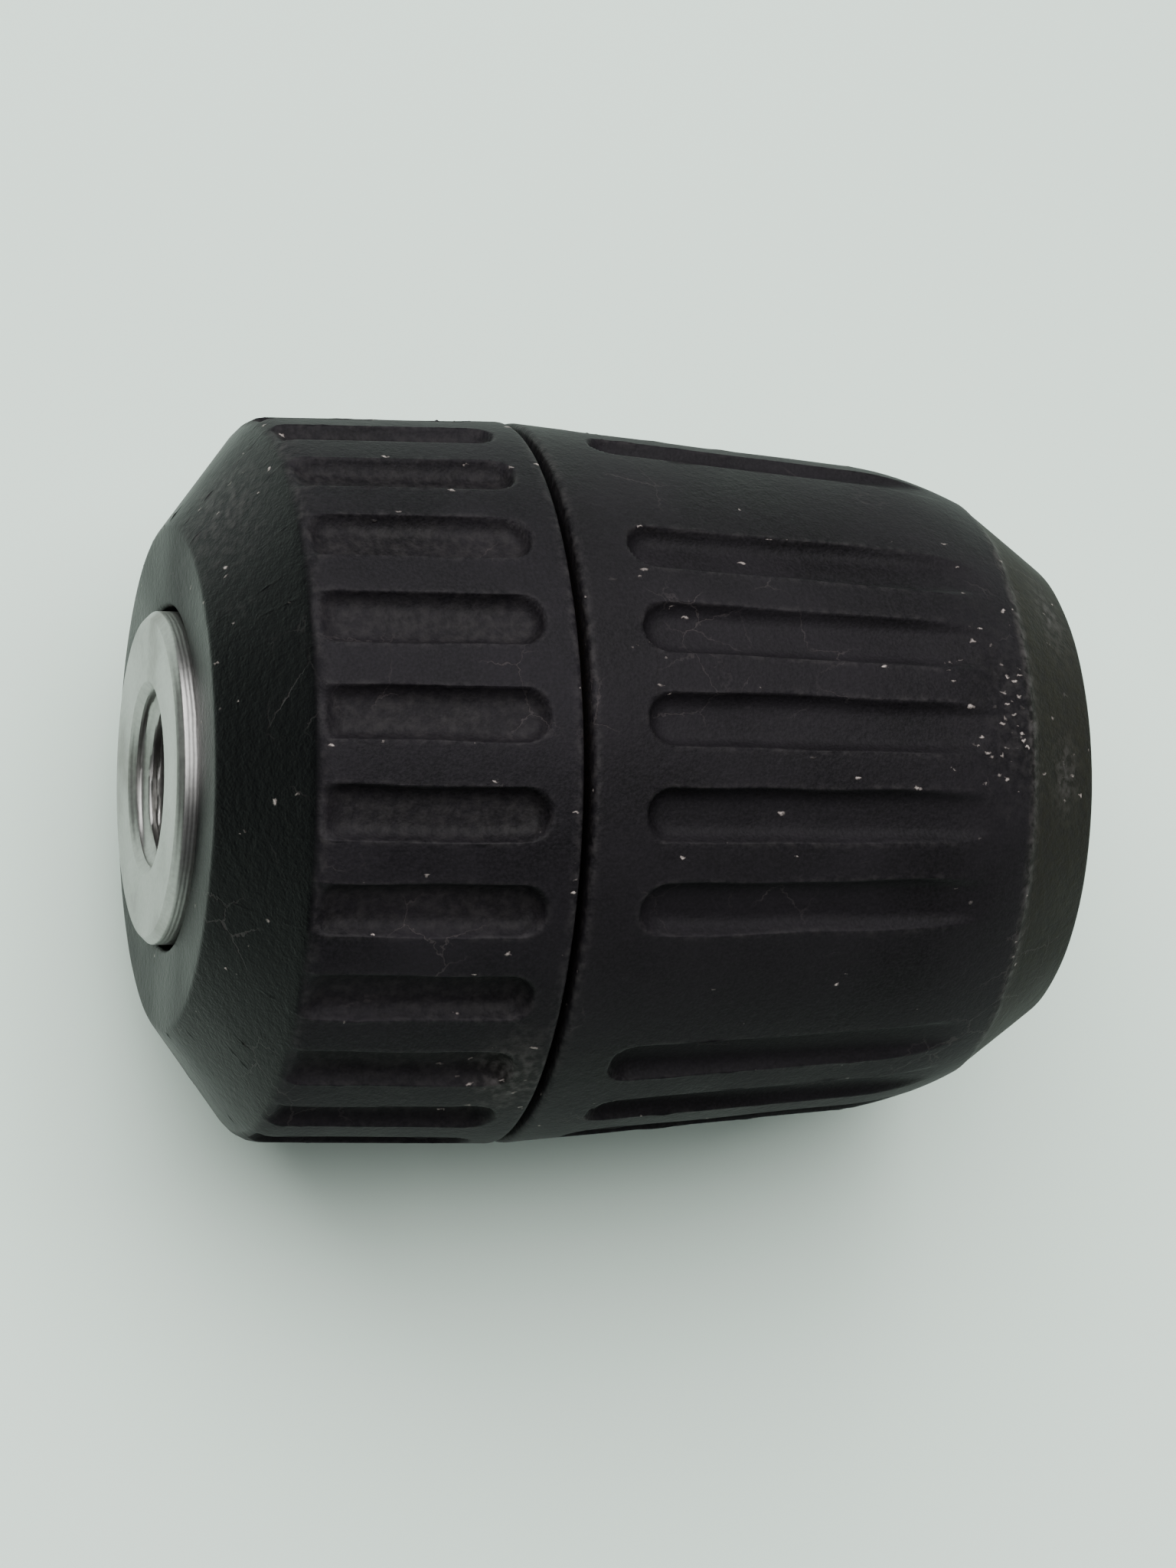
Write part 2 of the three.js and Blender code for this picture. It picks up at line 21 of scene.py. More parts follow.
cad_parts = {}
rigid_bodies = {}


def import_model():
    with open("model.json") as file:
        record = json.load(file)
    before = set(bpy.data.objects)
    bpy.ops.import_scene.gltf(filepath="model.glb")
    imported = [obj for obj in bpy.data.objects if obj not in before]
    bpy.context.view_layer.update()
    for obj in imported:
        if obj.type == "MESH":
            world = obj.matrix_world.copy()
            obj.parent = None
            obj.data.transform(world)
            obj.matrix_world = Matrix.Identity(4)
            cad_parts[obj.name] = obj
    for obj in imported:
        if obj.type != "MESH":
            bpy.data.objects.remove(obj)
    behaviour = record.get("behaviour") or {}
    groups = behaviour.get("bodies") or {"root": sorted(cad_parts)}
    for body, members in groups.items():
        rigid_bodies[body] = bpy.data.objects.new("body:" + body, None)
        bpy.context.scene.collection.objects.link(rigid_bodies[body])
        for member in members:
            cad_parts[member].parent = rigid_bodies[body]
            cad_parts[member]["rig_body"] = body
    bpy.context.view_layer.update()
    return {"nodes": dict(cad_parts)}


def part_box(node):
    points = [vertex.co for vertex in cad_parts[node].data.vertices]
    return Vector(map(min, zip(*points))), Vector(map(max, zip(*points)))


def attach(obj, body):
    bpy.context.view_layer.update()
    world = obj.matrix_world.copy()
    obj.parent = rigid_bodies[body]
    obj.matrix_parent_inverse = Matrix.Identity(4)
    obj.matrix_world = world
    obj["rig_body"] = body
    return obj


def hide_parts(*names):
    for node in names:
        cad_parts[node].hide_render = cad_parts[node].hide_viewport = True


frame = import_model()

MM = 0.001  # one millimetre in Blender's metres
TURN = 2 * math.pi

# %% [markdown]
# ## Sizes
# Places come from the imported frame. Each node's box says where a piece starts and ends,
# so this file keeps only what a box can't say, such as a taper or a fillet.

# %% Sizes from the frame


def span(node):
    """First x, last x and outer radius of a node that is round the X axis, in mm."""
    low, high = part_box(node)
    return low.x / MM, high.x / MM, max(high.y, high.z) / MM


REAR_X, REAR_END_X, GRIP_RADIUS = span("rear_sleeve")
FRONT_X, NOSE_X, _ = span("front_sleeve")
RING_X, RING_END_X, RING_RADIUS = span("nose_ring")
BODY_X, BODY_END_X, FLANGE_RADIUS = span("chuck_body")
SHELL_X, SHELL_END_X, LUG_TOP = span("nut_shell")
NUT_X, NUT_END_X, NUT_RADIUS = span("nut_half_a")
CAGE_X, CAGE_END_X, CAGE_RADIUS = span("ball_cage")
SEAM_X = (REAR_END_X + FRONT_X) / 2
print(f"grip radius {GRIP_RADIUS:.2f} mm, {NOSE_X - BODY_X:.1f} mm long, seam at {SEAM_X:.2f}")

# %% [markdown]
# ## Camera
# A long lens looks down on the chuck from behind and above the seam. The picture's
# sideways direction is the spindle axis, turned a little less than a degree.

# %% Camera
CAMERA_AT = Vector((-51.24, -70.95, 259.22)) * MM
LOOK_AT = Vector((24.8, 0, 0)) * MM
LENS = 116
ROLL = math.radians(0.8)

lens = bpy.data.cameras.new("camera")
lens.lens = LENS
lens.clip_start = 0.01
camera = bpy.data.objects.new("camera", lens)
forward = (LOOK_AT - CAMERA_AT).normalized()
right = (Vector((1, 0, 0)) - forward * forward.x).normalized()
stance = Matrix((right, right.cross(forward), -forward)).transposed().to_4x4()
camera.matrix_world = Matrix.Translation(CAMERA_AT) @ stance @ Matrix.Rotation(ROLL, 4, "Z")
bpy.context.scene.collection.objects.link(camera)
bpy.context.scene.camera = camera
print("camera", round((LOOK_AT - CAMERA_AT).length / MM), "mm away")

# %% [markdown]
# ## How a material is written
# A finish starts from what the real surface is. Colours are sRGB hex, because that is how
# they are read off a thing, and one function turns them to the linear values that light
# sums work in. Pattern sizes are millimetres. One helper adds a node, sets it and links it.

# %% Material helpers


def linear(hex_colour):
    """An sRGB hex colour as linear RGBA: the curve is straight near black, a power above."""
    srgb = np.array([int(hex_colour[i:i + 2], 16) for i in (1, 3, 5)]) / 255
    rgb = np.where(srgb <= 0.04045, srgb / 12.92, ((srgb + 0.055) / 1.055) ** 2.4)
    return (*rgb, 1.0)


def per_mm(size):
    """The texture scale at which one unit of pattern is this many mm across."""
    return 1 / (size * MM)


def add(owner, kind, inputs=(), **settings):
    """Adds a node to a material or the world. Each input is a value, or an output to link
    from, by name or number."""
    node = owner.node_tree.nodes.new("ShaderNode" + kind)
    for name, value in settings.items():
        setattr(node, name, value)
    for key, value in dict(inputs).items():
        if isinstance(value, bpy.types.NodeSocket):
            owner.node_tree.links.new(value, node.inputs[key])
        else:
            node.inputs[key].default_value = value
    return node


def new_finish(name, **sockets):
    """A material with only its Principled shader, whose sockets are set by name."""
    material = bpy.data.materials.new(name)
    material.use_nodes = True
    shader = material.node_tree.nodes["Principled BSDF"]
    for key, value in sockets.items():
        shader.inputs[key.replace("_", " ")].default_value = value
    place = add(material, "TexCoord").outputs["Object"]
    return material, shader, place


def link(owner, output, socket):
    owner.node_tree.links.new(output, socket)


# Sockets of a Mix node that mixes colours, by number, because names repeat across types.
FACTOR, COLOUR_A, COLOUR_B, COLOUR_OUT = 0, 6, 7, 2
print("graphite is", [round(v, 4) for v in linear("#26252a")])

# %% [markdown]
# ## Table top and studio light
# A pale laminate table, a wide soft lamp overhead, and dim light from all round. Black
# plastic only shows its shape in what it reflects, so the lamp is large: a small one would
# leave points of light in place of soft bands. The light from all round fades towards -X,
# where the drill would stand and shade the chuck's shoulder.

# %% Table top
TABLE_DROP = 0.05  # mm between the sleeve's lowest line and the table
TABLE_RADIUS = 2500


def laminate_matte():
    """Melamine laminate, pressed on a matte plate: pale, faintly green, almost no gloss."""
    material, shader, place = new_finish("melamine_laminate_matte", Roughness=0.62)
    patches = add(material, "TexNoise", {"Vector": place, "Scale": per_mm(60), "Detail": 3})
    tint = add(material, "Mix", {
        FACTOR: patches.outputs["Fac"],
        COLOUR_A: linear("#d8ebdf"),
        COLOUR_B: linear("#dff2e4"),
    }, data_type="RGBA")
    link(material, tint.outputs[COLOUR_OUT], shader.inputs["Base Color"])
    return material


def disc(radius, columns=96):
    """A flat disc: a ring of points at angle t = turn * k / columns, as one face."""
    t = TURN * np.arange(columns) / columns
    return np.stack([radius * np.cos(t), radius * np.sin(t), np.zeros(columns)], axis=-1)


table_mesh = bpy.data.meshes.new("table_top")
table_points = disc(TABLE_RADIUS) - [0, 0, GRIP_RADIUS + TABLE_DROP]
table_mesh.from_pydata((table_points * MM).tolist(), [], [list(range(len(table_points)))])
table_mesh.materials.append(laminate_matte())
table = bpy.data.objects.new("table_top", table_mesh)
bpy.context.scene.collection.objects.link(table)
print("table top at z", round(table_points[0, 2], 2), "mm")

# %% Lamps
LAMPS = {
    # name: (direction from the chuck, distance in mm, width in mm, watts)
    "lamp_overhead": ((-0.14, 0.38, 1.0), 1000, 1300, 30.0),
    "lamp_fill": ((0.6, -0.9, 0.6), 1100, 900, 1.0),
}
SKY = "#dfe3e6"
SKY_STRENGTH = 0.27
DARK_SIDE = 0.1  # share of the sky left towards the drill, which would stand at -X
DARK_UP_TO = -0.9  # X of a direction, out of 1, up to which the sky is at its darkest
FULL_FROM = -0.3  # and from which it has its full strength


def lamp(name, direction, distance, width, watts):
    """A square area lamp that faces the chuck."""
    light = bpy.data.lights.new(name, "AREA")
    light.energy = watts
    light.size = width * MM
    holder = bpy.data.objects.new(name, light)
    away = Vector(direction).normalized()
    holder.location = LOOK_AT + away * distance * MM
    holder.rotation_euler = away.to_track_quat("Z", "Y").to_euler()
    bpy.context.scene.collection.objects.link(holder)


for lamp_name, (direction, distance, width, watts) in LAMPS.items():
    lamp(lamp_name, direction, distance, width, watts)
world = bpy.data.worlds.new("studio")
world.use_nodes = True
background = world.node_tree.nodes["Background"]
background.inputs["Color"].default_value = linear(SKY)
direction_x = add(world, "SeparateXYZ", {0: add(world, "TexCoord").outputs["Generated"]})
dimming = add(world, "MapRange", {
    "Value": direction_x.outputs["X"], "From Min": DARK_UP_TO, "From Max": FULL_FROM,
    "To Min": SKY_STRENGTH * DARK_SIDE, "To Max": SKY_STRENGTH,
})
link(world, dimming.outputs["Result"], background.inputs["Strength"])
bpy.context.scene.world = world
print(len(LAMPS), "lamps")

# %% [markdown]
# ## From an outline to a skin
# A lathe or a mould makes a surface by sweeping an outline round an axis. The outline is
# a short list of corners. Each corner has a fillet, because no real edge is sharp, and
# the edge after it has a step, which sets how close the rows of points lie there.

# %% Outline and skin helpers
ARC_STEP = math.radians(18)  # a fillet turns this much from one row to the next


def rounded_outline(corners):
    """Points [x, radius] of a closed outline from corners (x, radius, fillet, step), in mm.

    A fillet is an arc that touches both edges. It starts fillet * tan(turn / 2) before its
    corner, where turn is the angle between the edges, and its centre is one fillet to the
    side. The edge after a corner is cut into equal parts no longer than step.
    """
    spots = np.array([corner[:2] for corner in corners], float)
    heading = np.roll(spots, -1, axis=0) - spots
    heading /= np.linalg.norm(heading, axis=1)[:, None]
    arcs = []
    for i, (_, _, fillet, _) in enumerate(corners):
        before, after = heading[i - 1], heading[i]
        turn = math.atan2(before[0] * after[1] - before[1] * after[0], before @ after)
        parts = max(1, math.ceil(abs(turn) / ARC_STEP)) if fillet else 0
        angle = turn * np.linspace(0, 1, parts + 1)[:, None]
        side = np.array([-before[1], before[0]]) * math.copysign(1, turn)
        across = np.array([-side[1], side[0]])
        start = spots[i] - before * fillet * abs(math.tan(turn / 2))
        arcs.append(start + fillet * (side - side * np.cos(angle) - across * np.sin(angle)))
    pieces = []
    for arc, following, (_, _, _, step) in zip(arcs, arcs[1:] + arcs[:1], corners):
        gap = following[0] - arc[-1]
        parts = max(1, math.ceil(np.linalg.norm(gap) / step))
        pieces += [arc, arc[-1] + gap * (np.arange(1, parts)[:, None] / parts)]
    return np.vstack(pieces)


def swept(outline, columns=128):
    """An outline swept round X: the point at angle t is (x, radius sin t, radius cos t)."""
    t = TURN * np.arange(columns)[None] / columns
    return on_axis(outline[:, :1], outline[:, 1:], t)


def on_axis(x, radius, angle):
    """Points from x, radius and angle from +Z towards +Y, as one array (rows, columns, 3)."""
    x, radius, angle = np.broadcast_arrays(x, radius, angle)
    return np.stack([x, radius * np.sin(angle), radius * np.cos(angle)], axis=-1)


def skin(name, grid, material, rows="ring"):
    """A mesh piece from a grid of points in mm, (rows, columns, 3).

    Columns always join up. Rows join up when rows is "ring". They end in a flat face when
    it is "bar", and in a point when it is "ball". Faces are turned to point outwards.
    """
    count, columns = grid.shape[:2]
    number = np.arange(count * columns).reshape(count, columns)
    beside = np.roll(number, -1, axis=1)
    quads = np.stack([number, beside, np.roll(beside, -1, 0), np.roll(number, -1, 0)], axis=-1)
    faces = (quads if rows == "ring" else quads[:-1]).reshape(-1, 4).tolist()
    if rows == "bar":
        faces += [number[0, ::-1].tolist(), number[-1].tolist()]
    mesh = bpy.data.meshes.new(name)
    mesh.from_pydata((grid.reshape(-1, 3) * MM).tolist(), [], faces)
    shape = bmesh.new()
    shape.from_mesh(mesh)
    if rows == "ball":
        bmesh.ops.remove_doubles(shape, verts=shape.verts, dist=1e-3 * MM)
    if shape.calc_volume(signed=True) < 0:
        bmesh.ops.reverse_faces(shape, faces=shape.faces)
    shape.to_mesh(mesh)
    shape.free()
    mesh.shade_smooth()
    mesh.materials.append(material)
    piece = bpy.data.objects.new(name, mesh)
    bpy.context.scene.collection.objects.link(piece)
    return piece


def stand_for(piece, slot, *nodes):
    """The piece rides on its CAD nodes' body and hides them; slot is not used."""
    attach(piece, frame["nodes"][nodes[0]]["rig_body"])
    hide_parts(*nodes)
    print(f"{piece.name}: {len(piece.data.polygons)} faces")


def stamp(piece, **masks):
    """Stores a number at each point of a piece, for its material to read."""
    for name, values in masks.items():
        attribute = piece.data.attributes.new(name, "FLOAT", "POINT")
        attribute.data.foreach_set("value", np.ascontiguousarray(values, np.float32).ravel())


def blend_in(values, start, end):
    """0 before start, 1 after end, and an S-curve 3u² - 2u³ between them."""
    u = np.clip((values - start) / (end - start), 0, 1)
    return u * u * (3 - 2 * u)


print("a square of 10 mm, filleted by 2 mm, has",
      len(rounded_outline([(0, 0, 2, 10), (10, 0, 2, 10), (10, 10, 2, 10), (0, 10, 2, 10)])),
      "rows")

# %% [markdown]
# ## Finish of the sleeves
# The sleeves are glass-filled nylon, injection moulded in black. The fibres leave a dull,
# finely mottled skin. Handling wears the high edges pale, knocks scrape chips out of the
# dome, and the nose, which rubs on the work, turns a dusty olive grey. The shoulder is
# painted near black as painted shade, where the drill would keep the light off, and its
# upper part is painted paler as painted light. No hand touches it, so it is glossier. The
# masks that say where are worked out with the shape and read here as attributes. The
# colours are laid one over another in a loop.

# %% Moulded nylon
BEND = 0.5  # mm that the lattice of chips and scratches is bent by


def moulded_nylon():
    """Black glass-filled nylon. Fibres near the skin make it dull and finely mottled, so the
    eye sees a soft black with no clear reflection. Wear, dust and pale chips lie over it."""
    material, shader, place = new_finish(
        "glass_filled_nylon_moulded", IOR=1.53, Specular_IOR_Level=0.08)
    mask = {
        name: add(material, "Attribute", attribute_name=name).outputs["Fac"]
        for name in ("worn", "scuffed", "dusty", "sheltered")
    }
    noise = {
        name: add(material, "TexNoise", {
            "Vector": place, "Scale": per_mm(size), "Detail": detail,
        })
        for name, size, detail in (
            ("cloud", 7, 4), ("mottle", 0.5, 3), ("grain", 0.16, 2), ("bend", 0.35, 2))
    }
    cloud, mottle, grain = (noise[name].outputs["Fac"] for name in ("cloud", "mottle", "grain"))

    # Chips lie on a lattice of slanting slivers, which a noise bends. A sliver is drawn
    # where its cell's random number passes a bar, and the more scuffed, the lower the bar.
    bent = add(material, "VectorMath", {
        0: noise["bend"].outputs["Color"], 1: (BEND * MM, BEND * MM, BEND * MM), 2: place,
    }, operation="MULTIPLY_ADD").outputs["Vector"]
    slanted = add(material, "Mapping", {
        "Vector": bent, "Rotation": (0, 0, math.radians(-35)), "Scale": (0.7, 1.6, 1.0),
    })
    lattice = add(material, "TexVoronoi", {
        "Vector": slanted.outputs["Vector"], "Scale": per_mm(0.55),
    })
    chance = add(material, "SeparateColor", {"Color": lattice.outputs["Color"]})
    # Scratches are the borders between much larger bent cells.
    border = add(material, "TexVoronoi", {
        "Vector": bent, "Scale": per_mm(3.2),
    }, feature="DISTANCE_TO_EDGE")

    ramps = {
        # name: (value, from, to, result at from, result at to)
        "patches": (cloud, 0.32, 0.68, 0.0, 1.0),
        "speckle": (grain, 0.35, 0.75, 0.0, 0.45),
        "dust": (mottle, 0.3, 0.7, 0.45, 1.0),
        "rubbed": (mottle, 0.42, 0.68, 0.0, 1.0),
        "bar": (mask["scuffed"], 0.0, 1.0, 1.0, 0.15),
        "sliver": (lattice.outputs["Distance"], 0.10, 0.30, 1.0, 0.0),
        "hair": (border.outputs["Distance"], 0.006, 0.016, 1.0, 0.0),
        "hair_places": (cloud, 0.56, 0.66, 0.0, 0.4),
        "dull": (cloud, 0.3, 0.7, 0.55, 0.68),
    }
    value = {
        name: add(material, "MapRange", dict(zip(
            ("Value", "From Min", "From Max", "To Min", "To Max"), row))).outputs["Result"]
        for name, row in ramps.items()
    }
    value.update(mask, cloud=cloud, mottle=mottle, grain=grain,
                 chance=chance.outputs["Red"], strength=chance.outputs["Green"])
    sums = (
        # name, operation, and the names or numbers that it takes
        ("dust", "MULTIPLY", "dust", "dusty"),
        ("rubbed", "MULTIPLY", "rubbed", "worn"),
        # painted shade: the shoulder's mask mixes in a near-black colour where the drill would shade
        # it
        ("black_painted_shade", "MULTIPLY", "sheltered", 0.95),
        ("chips", "GREATER_THAN", "chance", "bar"),
        ("chips", "MULTIPLY", "chips", "sliver"),
        ("pale", "MULTIPLY", "chips", "strength"),
        ("hairs", "MULTIPLY", "hair", "hair_places"),
        ("polish", "MULTIPLY", "sheltered", -0.2),
        ("dull", "ADD", "dull", "polish"),
        ("fine", "MULTIPLY", "grain", 0.6),
        ("relief", "ADD", "mottle", "fine"),
        ("marks", "SUBTRACT", "chips", "hairs"),
        ("relief", "ADD", "relief", "marks"),
        ("swell", "MULTIPLY", "cloud", 1.5),
        ("relief", "ADD", "relief", "swell"),
    )
    for name, operation, *terms in sums:
        terms = {i: value.get(term, term) for i, term in enumerate(terms)}
        value[name] = add(material, "Math", terms, operation=operation).outputs[0]

    base = linear("#0b0a0c")
    for share, colour in (
        ("patches", "#181619"), ("speckle", "#232024"), ("dust", "#1e1d16"),
        # 010102 is painted shade on the shoulder, where the drill would keep the light off
        ("rubbed", "#423f3f"), ("black_painted_shade", "#010102"), ("pale", "#ada29d"), ("hairs", "#413c3c"),
    ):
        base = add(material, "Mix", {
            FACTOR: value[share], COLOUR_A: base, COLOUR_B: linear(colour),
        }, data_type="RGBA").outputs[COLOUR_OUT]
    bump = add(material, "Bump", {
        "Height": value["relief"], "Distance": 0.05 * MM, "Strength": 0.9,
    })
    link(material, base, shader.inputs["Base Color"])
    link(material, value["dull"], shader.inputs["Roughness"])
    link(material, bump.outputs["Normal"], shader.inputs["Normal"])
    return material


nylon = moulded_nylon()
print(nylon.name, len(nylon.node_tree.nodes), "nodes")

# %% [markdown]
# ## Finger flutes
# Both sleeves have flutes for grip: grooves with a rounded floor and a round closed end,
# twenty-four places round the circle. They could be cut with a boolean, but a moulded
# flute has soft corners. So a flute is a height formula, and the sleeve's radius is the
# lower of its outline and the flute, with the lip where they cross rounded over.

# %% Flute formulas
FLUTES = 24
FLUTE_STEP = TURN / FLUTES
FIRST_FLUTE = math.radians(-5)
PLAIN_EVERY = 6  # on the front sleeve one place in this many has no flute
PLAIN_PLACE = 3
FLUTE_HALF = 1.45
FLUTE_DEPTH = 0.9
FLUTE_SIDE = 0.80  # width of the rounded side between floor and lip
FLUTE_RISE = 1.00  # height of that side, a little more than the depth
FLUTE_HOLLOW = 0.07  # the floor is this much lower in its middle
LIP_ROUND = 0.16
SMALLEST_TURN_RADIUS = 15.5  # inside this radius the columns keep their angles


def columns_for_flutes(radius):
    """Angles of a sleeve's columns, row by row, and mm across from each flute's middle.

    Across a flute the columns are fixed distances: even steps of the side's angle, so that
    half - side + side * sin(t) follows the rounded side, and three just outside the lip.
    The land between two flutes shares out what is left, so columns follow every lip.
    """
    side = FLUTE_HALF - FLUTE_SIDE * (1 - np.sin(np.linspace(0, math.pi / 2, 7)))
    outside = FLUTE_HALF + np.array([0.05, 0.13, 0.3])
    half = np.concatenate([[FLUTE_HALF - 1.4 * FLUTE_SIDE], side, outside])
    fixed = np.concatenate([-half[::-1], [0], half])
    reach = np.maximum(radius, SMALLEST_TURN_RADIUS)[:, None]
    land = reach * FLUTE_STEP - 2 * half[-1]
    shared = half[-1] + land * np.array([0.25, 0.5, 0.75])
    across = np.hstack([np.broadcast_to(fixed, (len(radius), len(fixed))), shared])
    middle = FIRST_FLUTE + FLUTE_STEP * np.arange(FLUTES)
    angle = middle[None, :, None] + (across / reach)[:, None, :]
    across = np.broadcast_to(across[:, None, :], angle.shape)
    return angle.reshape(len(radius), -1), across.reshape(len(radius), -1)


def flute_height(across, past, floor):
    """Radius of the flutes' surface where across is sideways and past is beyond the centre
    of the closed end. With d the distance to the flute's middle line, it is the floor, a
    shallow hollow d², a quarter ellipse 1 - sqrt(1 - u²) up the side, and then a wall."""
    d = np.hypot(across, np.maximum(past, 0))
    u = np.clip((d - FLUTE_HALF + FLUTE_SIDE) / FLUTE_SIDE, 0, 1)
    hollow = FLUTE_HOLLOW * (np.minimum(d / FLUTE_HALF, 1) ** 2 - 1)
    wall = 9 * np.maximum(d - FLUTE_HALF, 0)
    return floor + hollow + FLUTE_RISE * (1 - np.sqrt(1 - u * u)) + wall, d


def lower_of(a, b, rounding):
    """The lower of two heights, with the corner where they cross rounded over."""
    mix = np.clip(0.5 + (b - a) / (2 * rounding), 0, 1)
    return b * (1 - mix) + a * mix - rounding * mix * (1 - mix)


def near_lip(d, width=0.35):
    """1 on a flute's lip, falling to 0 that far outside it; 0 inside the flute."""
    inside = blend_in(d, FLUTE_HALF - 0.1, FLUTE_HALF)
    return inside * (1 - blend_in(d, FLUTE_HALF, FLUTE_HALF + width))


def unevenness(x, angle, seed, size=6.0):
    """A slow random wave over a sleeve, about -1 to 1: a sum of sines of x and whole
    turns of the angle, with random phases. Size is the shortest wave in mm."""
    draw = np.random.default_rng(seed)
    total = np.zeros(np.broadcast(x, angle).shape)
    for _ in range(10):
        turns = draw.integers(-18, 19)
        waves = draw.uniform(-TURN / size, TURN / size)
        total += np.sin(waves * x + turns * angle + draw.uniform(0, TURN))
    return total / 4


def burrs(shape, seed, height=0.05, few=1.3):
    """Small torn edges: a random height at each point, none at all at most of them."""
    return height * np.maximum(np.random.default_rng(seed).normal(size=shape) - few, 0)


def spot(x, angle, at_x, at_degrees, long, wide):
    """A soft round patch exp(-(dx/long)² - (da/wide)²), long in mm and wide in radians."""
    turned = (angle - math.radians(at_degrees) + math.pi) % TURN - math.pi
    return np.exp(-((x - at_x) / long) ** 2 - (turned / wide) ** 2)


print(FLUTES, "flute places,", 26 * FLUTES, "columns round a sleeve")

# %% [markdown]
# ## Rear sleeve
# A grip ring pressed on the steel body. Its flutes start near the seam and run out at
# the conical shoulder. It is one mould, so it is one closed skin: outside, front face,
# bore and back wall.

# %% Rear sleeve
SHOULDER_LENGTH = 4.5
SHOULDER_DROP = 6.0
SHOULDER_WALL = 1.8
SHOULDER_EDGE_X = REAR_X + SHOULDER_LENGTH
RING_NARROWING = 0.15
REAR_HOLE = 9.3
REAR_BORE = 17.0
BACK_WALL = 2.4
RING_FLUTE_END_X = SEAM_X - 1.9  # tip of the flutes' closed ends
RING_MARKS = {
    # name: (x, degrees from the top, length in mm, width in radians)
    "knock": (17.4, -68, 1.6, 0.16),
    # painted light: a paler patch on the shoulder's upper side, where the light falls on it
    "rubbed": (2.6, 52, 2.6, 0.42),
    "chip": (2.3, 19, 0.5, 0.05),
}


def rear_sleeve_rows():
    """The shoulder is a cone outside and inside. Moved along X by wall / sin(lean), where
    tan(lean) = drop / length, the outer cone gives the inner one."""
    side = GRIP_RADIUS - RING_NARROWING
    steepness = SHOULDER_DROP / SHOULDER_LENGTH
    wall_x = SHOULDER_WALL / math.sin(math.atan(steepness))
    back_x = REAR_X + BACK_WALL
    inner_end_x = SHOULDER_EDGE_X + wall_x - (side - REAR_BORE) / steepness
    inner_radius = REAR_BORE - (inner_end_x - back_x) * steepness
    slope = (GRIP_RADIUS - side) / (REAR_END_X - SHOULDER_EDGE_X)

    def on_side(x):
        return side + slope * (x - SHOULDER_EDGE_X)

    fine_x = RING_FLUTE_END_X - 1.15 * FLUTE_HALF
    fine_end_x = RING_FLUTE_END_X + 0.25
    return rounded_outline([
        (REAR_X, REAR_HOLE, 0.3, 0.7),
        (REAR_X, side - SHOULDER_DROP, 0.6, 0.45),
        (SHOULDER_EDGE_X, side, 1.5, 0.5),
        (fine_x, on_side(fine_x), 0, 0.13),
        (fine_end_x, on_side(fine_end_x), 0, 0.4),
        (REAR_END_X, GRIP_RADIUS, 0.32, 0.8),
        (REAR_END_X, REAR_BORE, 0.25, 2),
        (inner_end_x, REAR_BORE, 0.6, 2),
        (back_x, inner_radius, 0.6, 2),
        (back_x, REAR_HOLE, 0.2, 1),
    ])


def rear_sleeve():
    rows = rear_sleeve_rows()
    x, radius = rows[:, :1], rows[:, 1:]
    angle, across = columns_for_flutes(rows[:, 1])
    wave = unevenness(x, angle, seed=3)
    past = x - (RING_FLUTE_END_X - FLUTE_HALF)
    run_out = FLUTE_DEPTH * (1 - blend_in(x, SHOULDER_EDGE_X - 0.7, SHOULDER_EDGE_X + 0.9))
    floor = GRIP_RADIUS - FLUTE_DEPTH + run_out
    flutes, d = flute_height(across + 0.06 * wave, past + 0.1 * wave, floor + 0.03 * wave)
    cut = lower_of(np.broadcast_to(radius, flutes.shape), flutes, LIP_ROUND)
    depth = np.clip((radius - cut) / FLUTE_DEPTH, 0, 1)
    outside = np.arange(len(rows))[:, None] < np.argmax(rows[:, 0]) + 4
    outside = np.broadcast_to(outside, flutes.shape)
    torn = burrs(d.shape, 5) * near_lip(d, 0.15)
    final = np.where(outside, cut + 0.012 * wave + torn, radius)
    piece = skin("rear_sleeve_moulded", on_axis(x, final, angle), nylon)
    seam = 1 - blend_in(REAR_END_X - x, 0.0, 0.7)
    back_edge = np.exp(-((x - SHOULDER_EDGE_X) / 0.2) ** 2)
    # the second spot is painted light on the upper shoulder: paler colour and less painted shade
    # there
    knock, painted_light_shoulder_top, chip = (spot(x, angle, *place) for place in RING_MARKS.values())
    stamp(
        piece,
        worn=outside * np.clip(
            0.2 * near_lip(d) + 0.16 * depth + 0.35 * seam + 0.3 * back_edge + 0.9 * knock
            + 0.6 * painted_light_shoulder_top + 1.2 * chip, 0, 1),
        scuffed=outside * np.clip(
            0.01 + 0.06 * near_lip(d) + 0.1 * seam + 0.4 * knock + 0.06 * painted_light_shoulder_top, 0, 1),
        dusty=outside * np.clip(0.5 * knock + 0.12 * depth, 0, 1),
        # painted shade: the shoulder is painted near black and made glossier, less so where painted
        # light lies on its upper part
        sheltered=outside * (1 - blend_in(x, SHOULDER_EDGE_X - 0.45, SHOULDER_EDGE_X - 0.15))
        * (1 - 0.85 * painted_light_shoulder_top),
    )
    return piece


stand_for(rear_sleeve(), "sleeve_plastic", "rear_sleeve")

# %% [markdown]
# ## Front sleeve
# The grip that the hand turns. It tapers towards the nose, rounds over into a dome and
# ends in a plain cone, with a worn step between them. Its flutes grow shallow and run out
# on the dome. Inside it has room for the nut and its lugs, a bearing surface for the body
# and a lip that the steel ring in the nose holds.

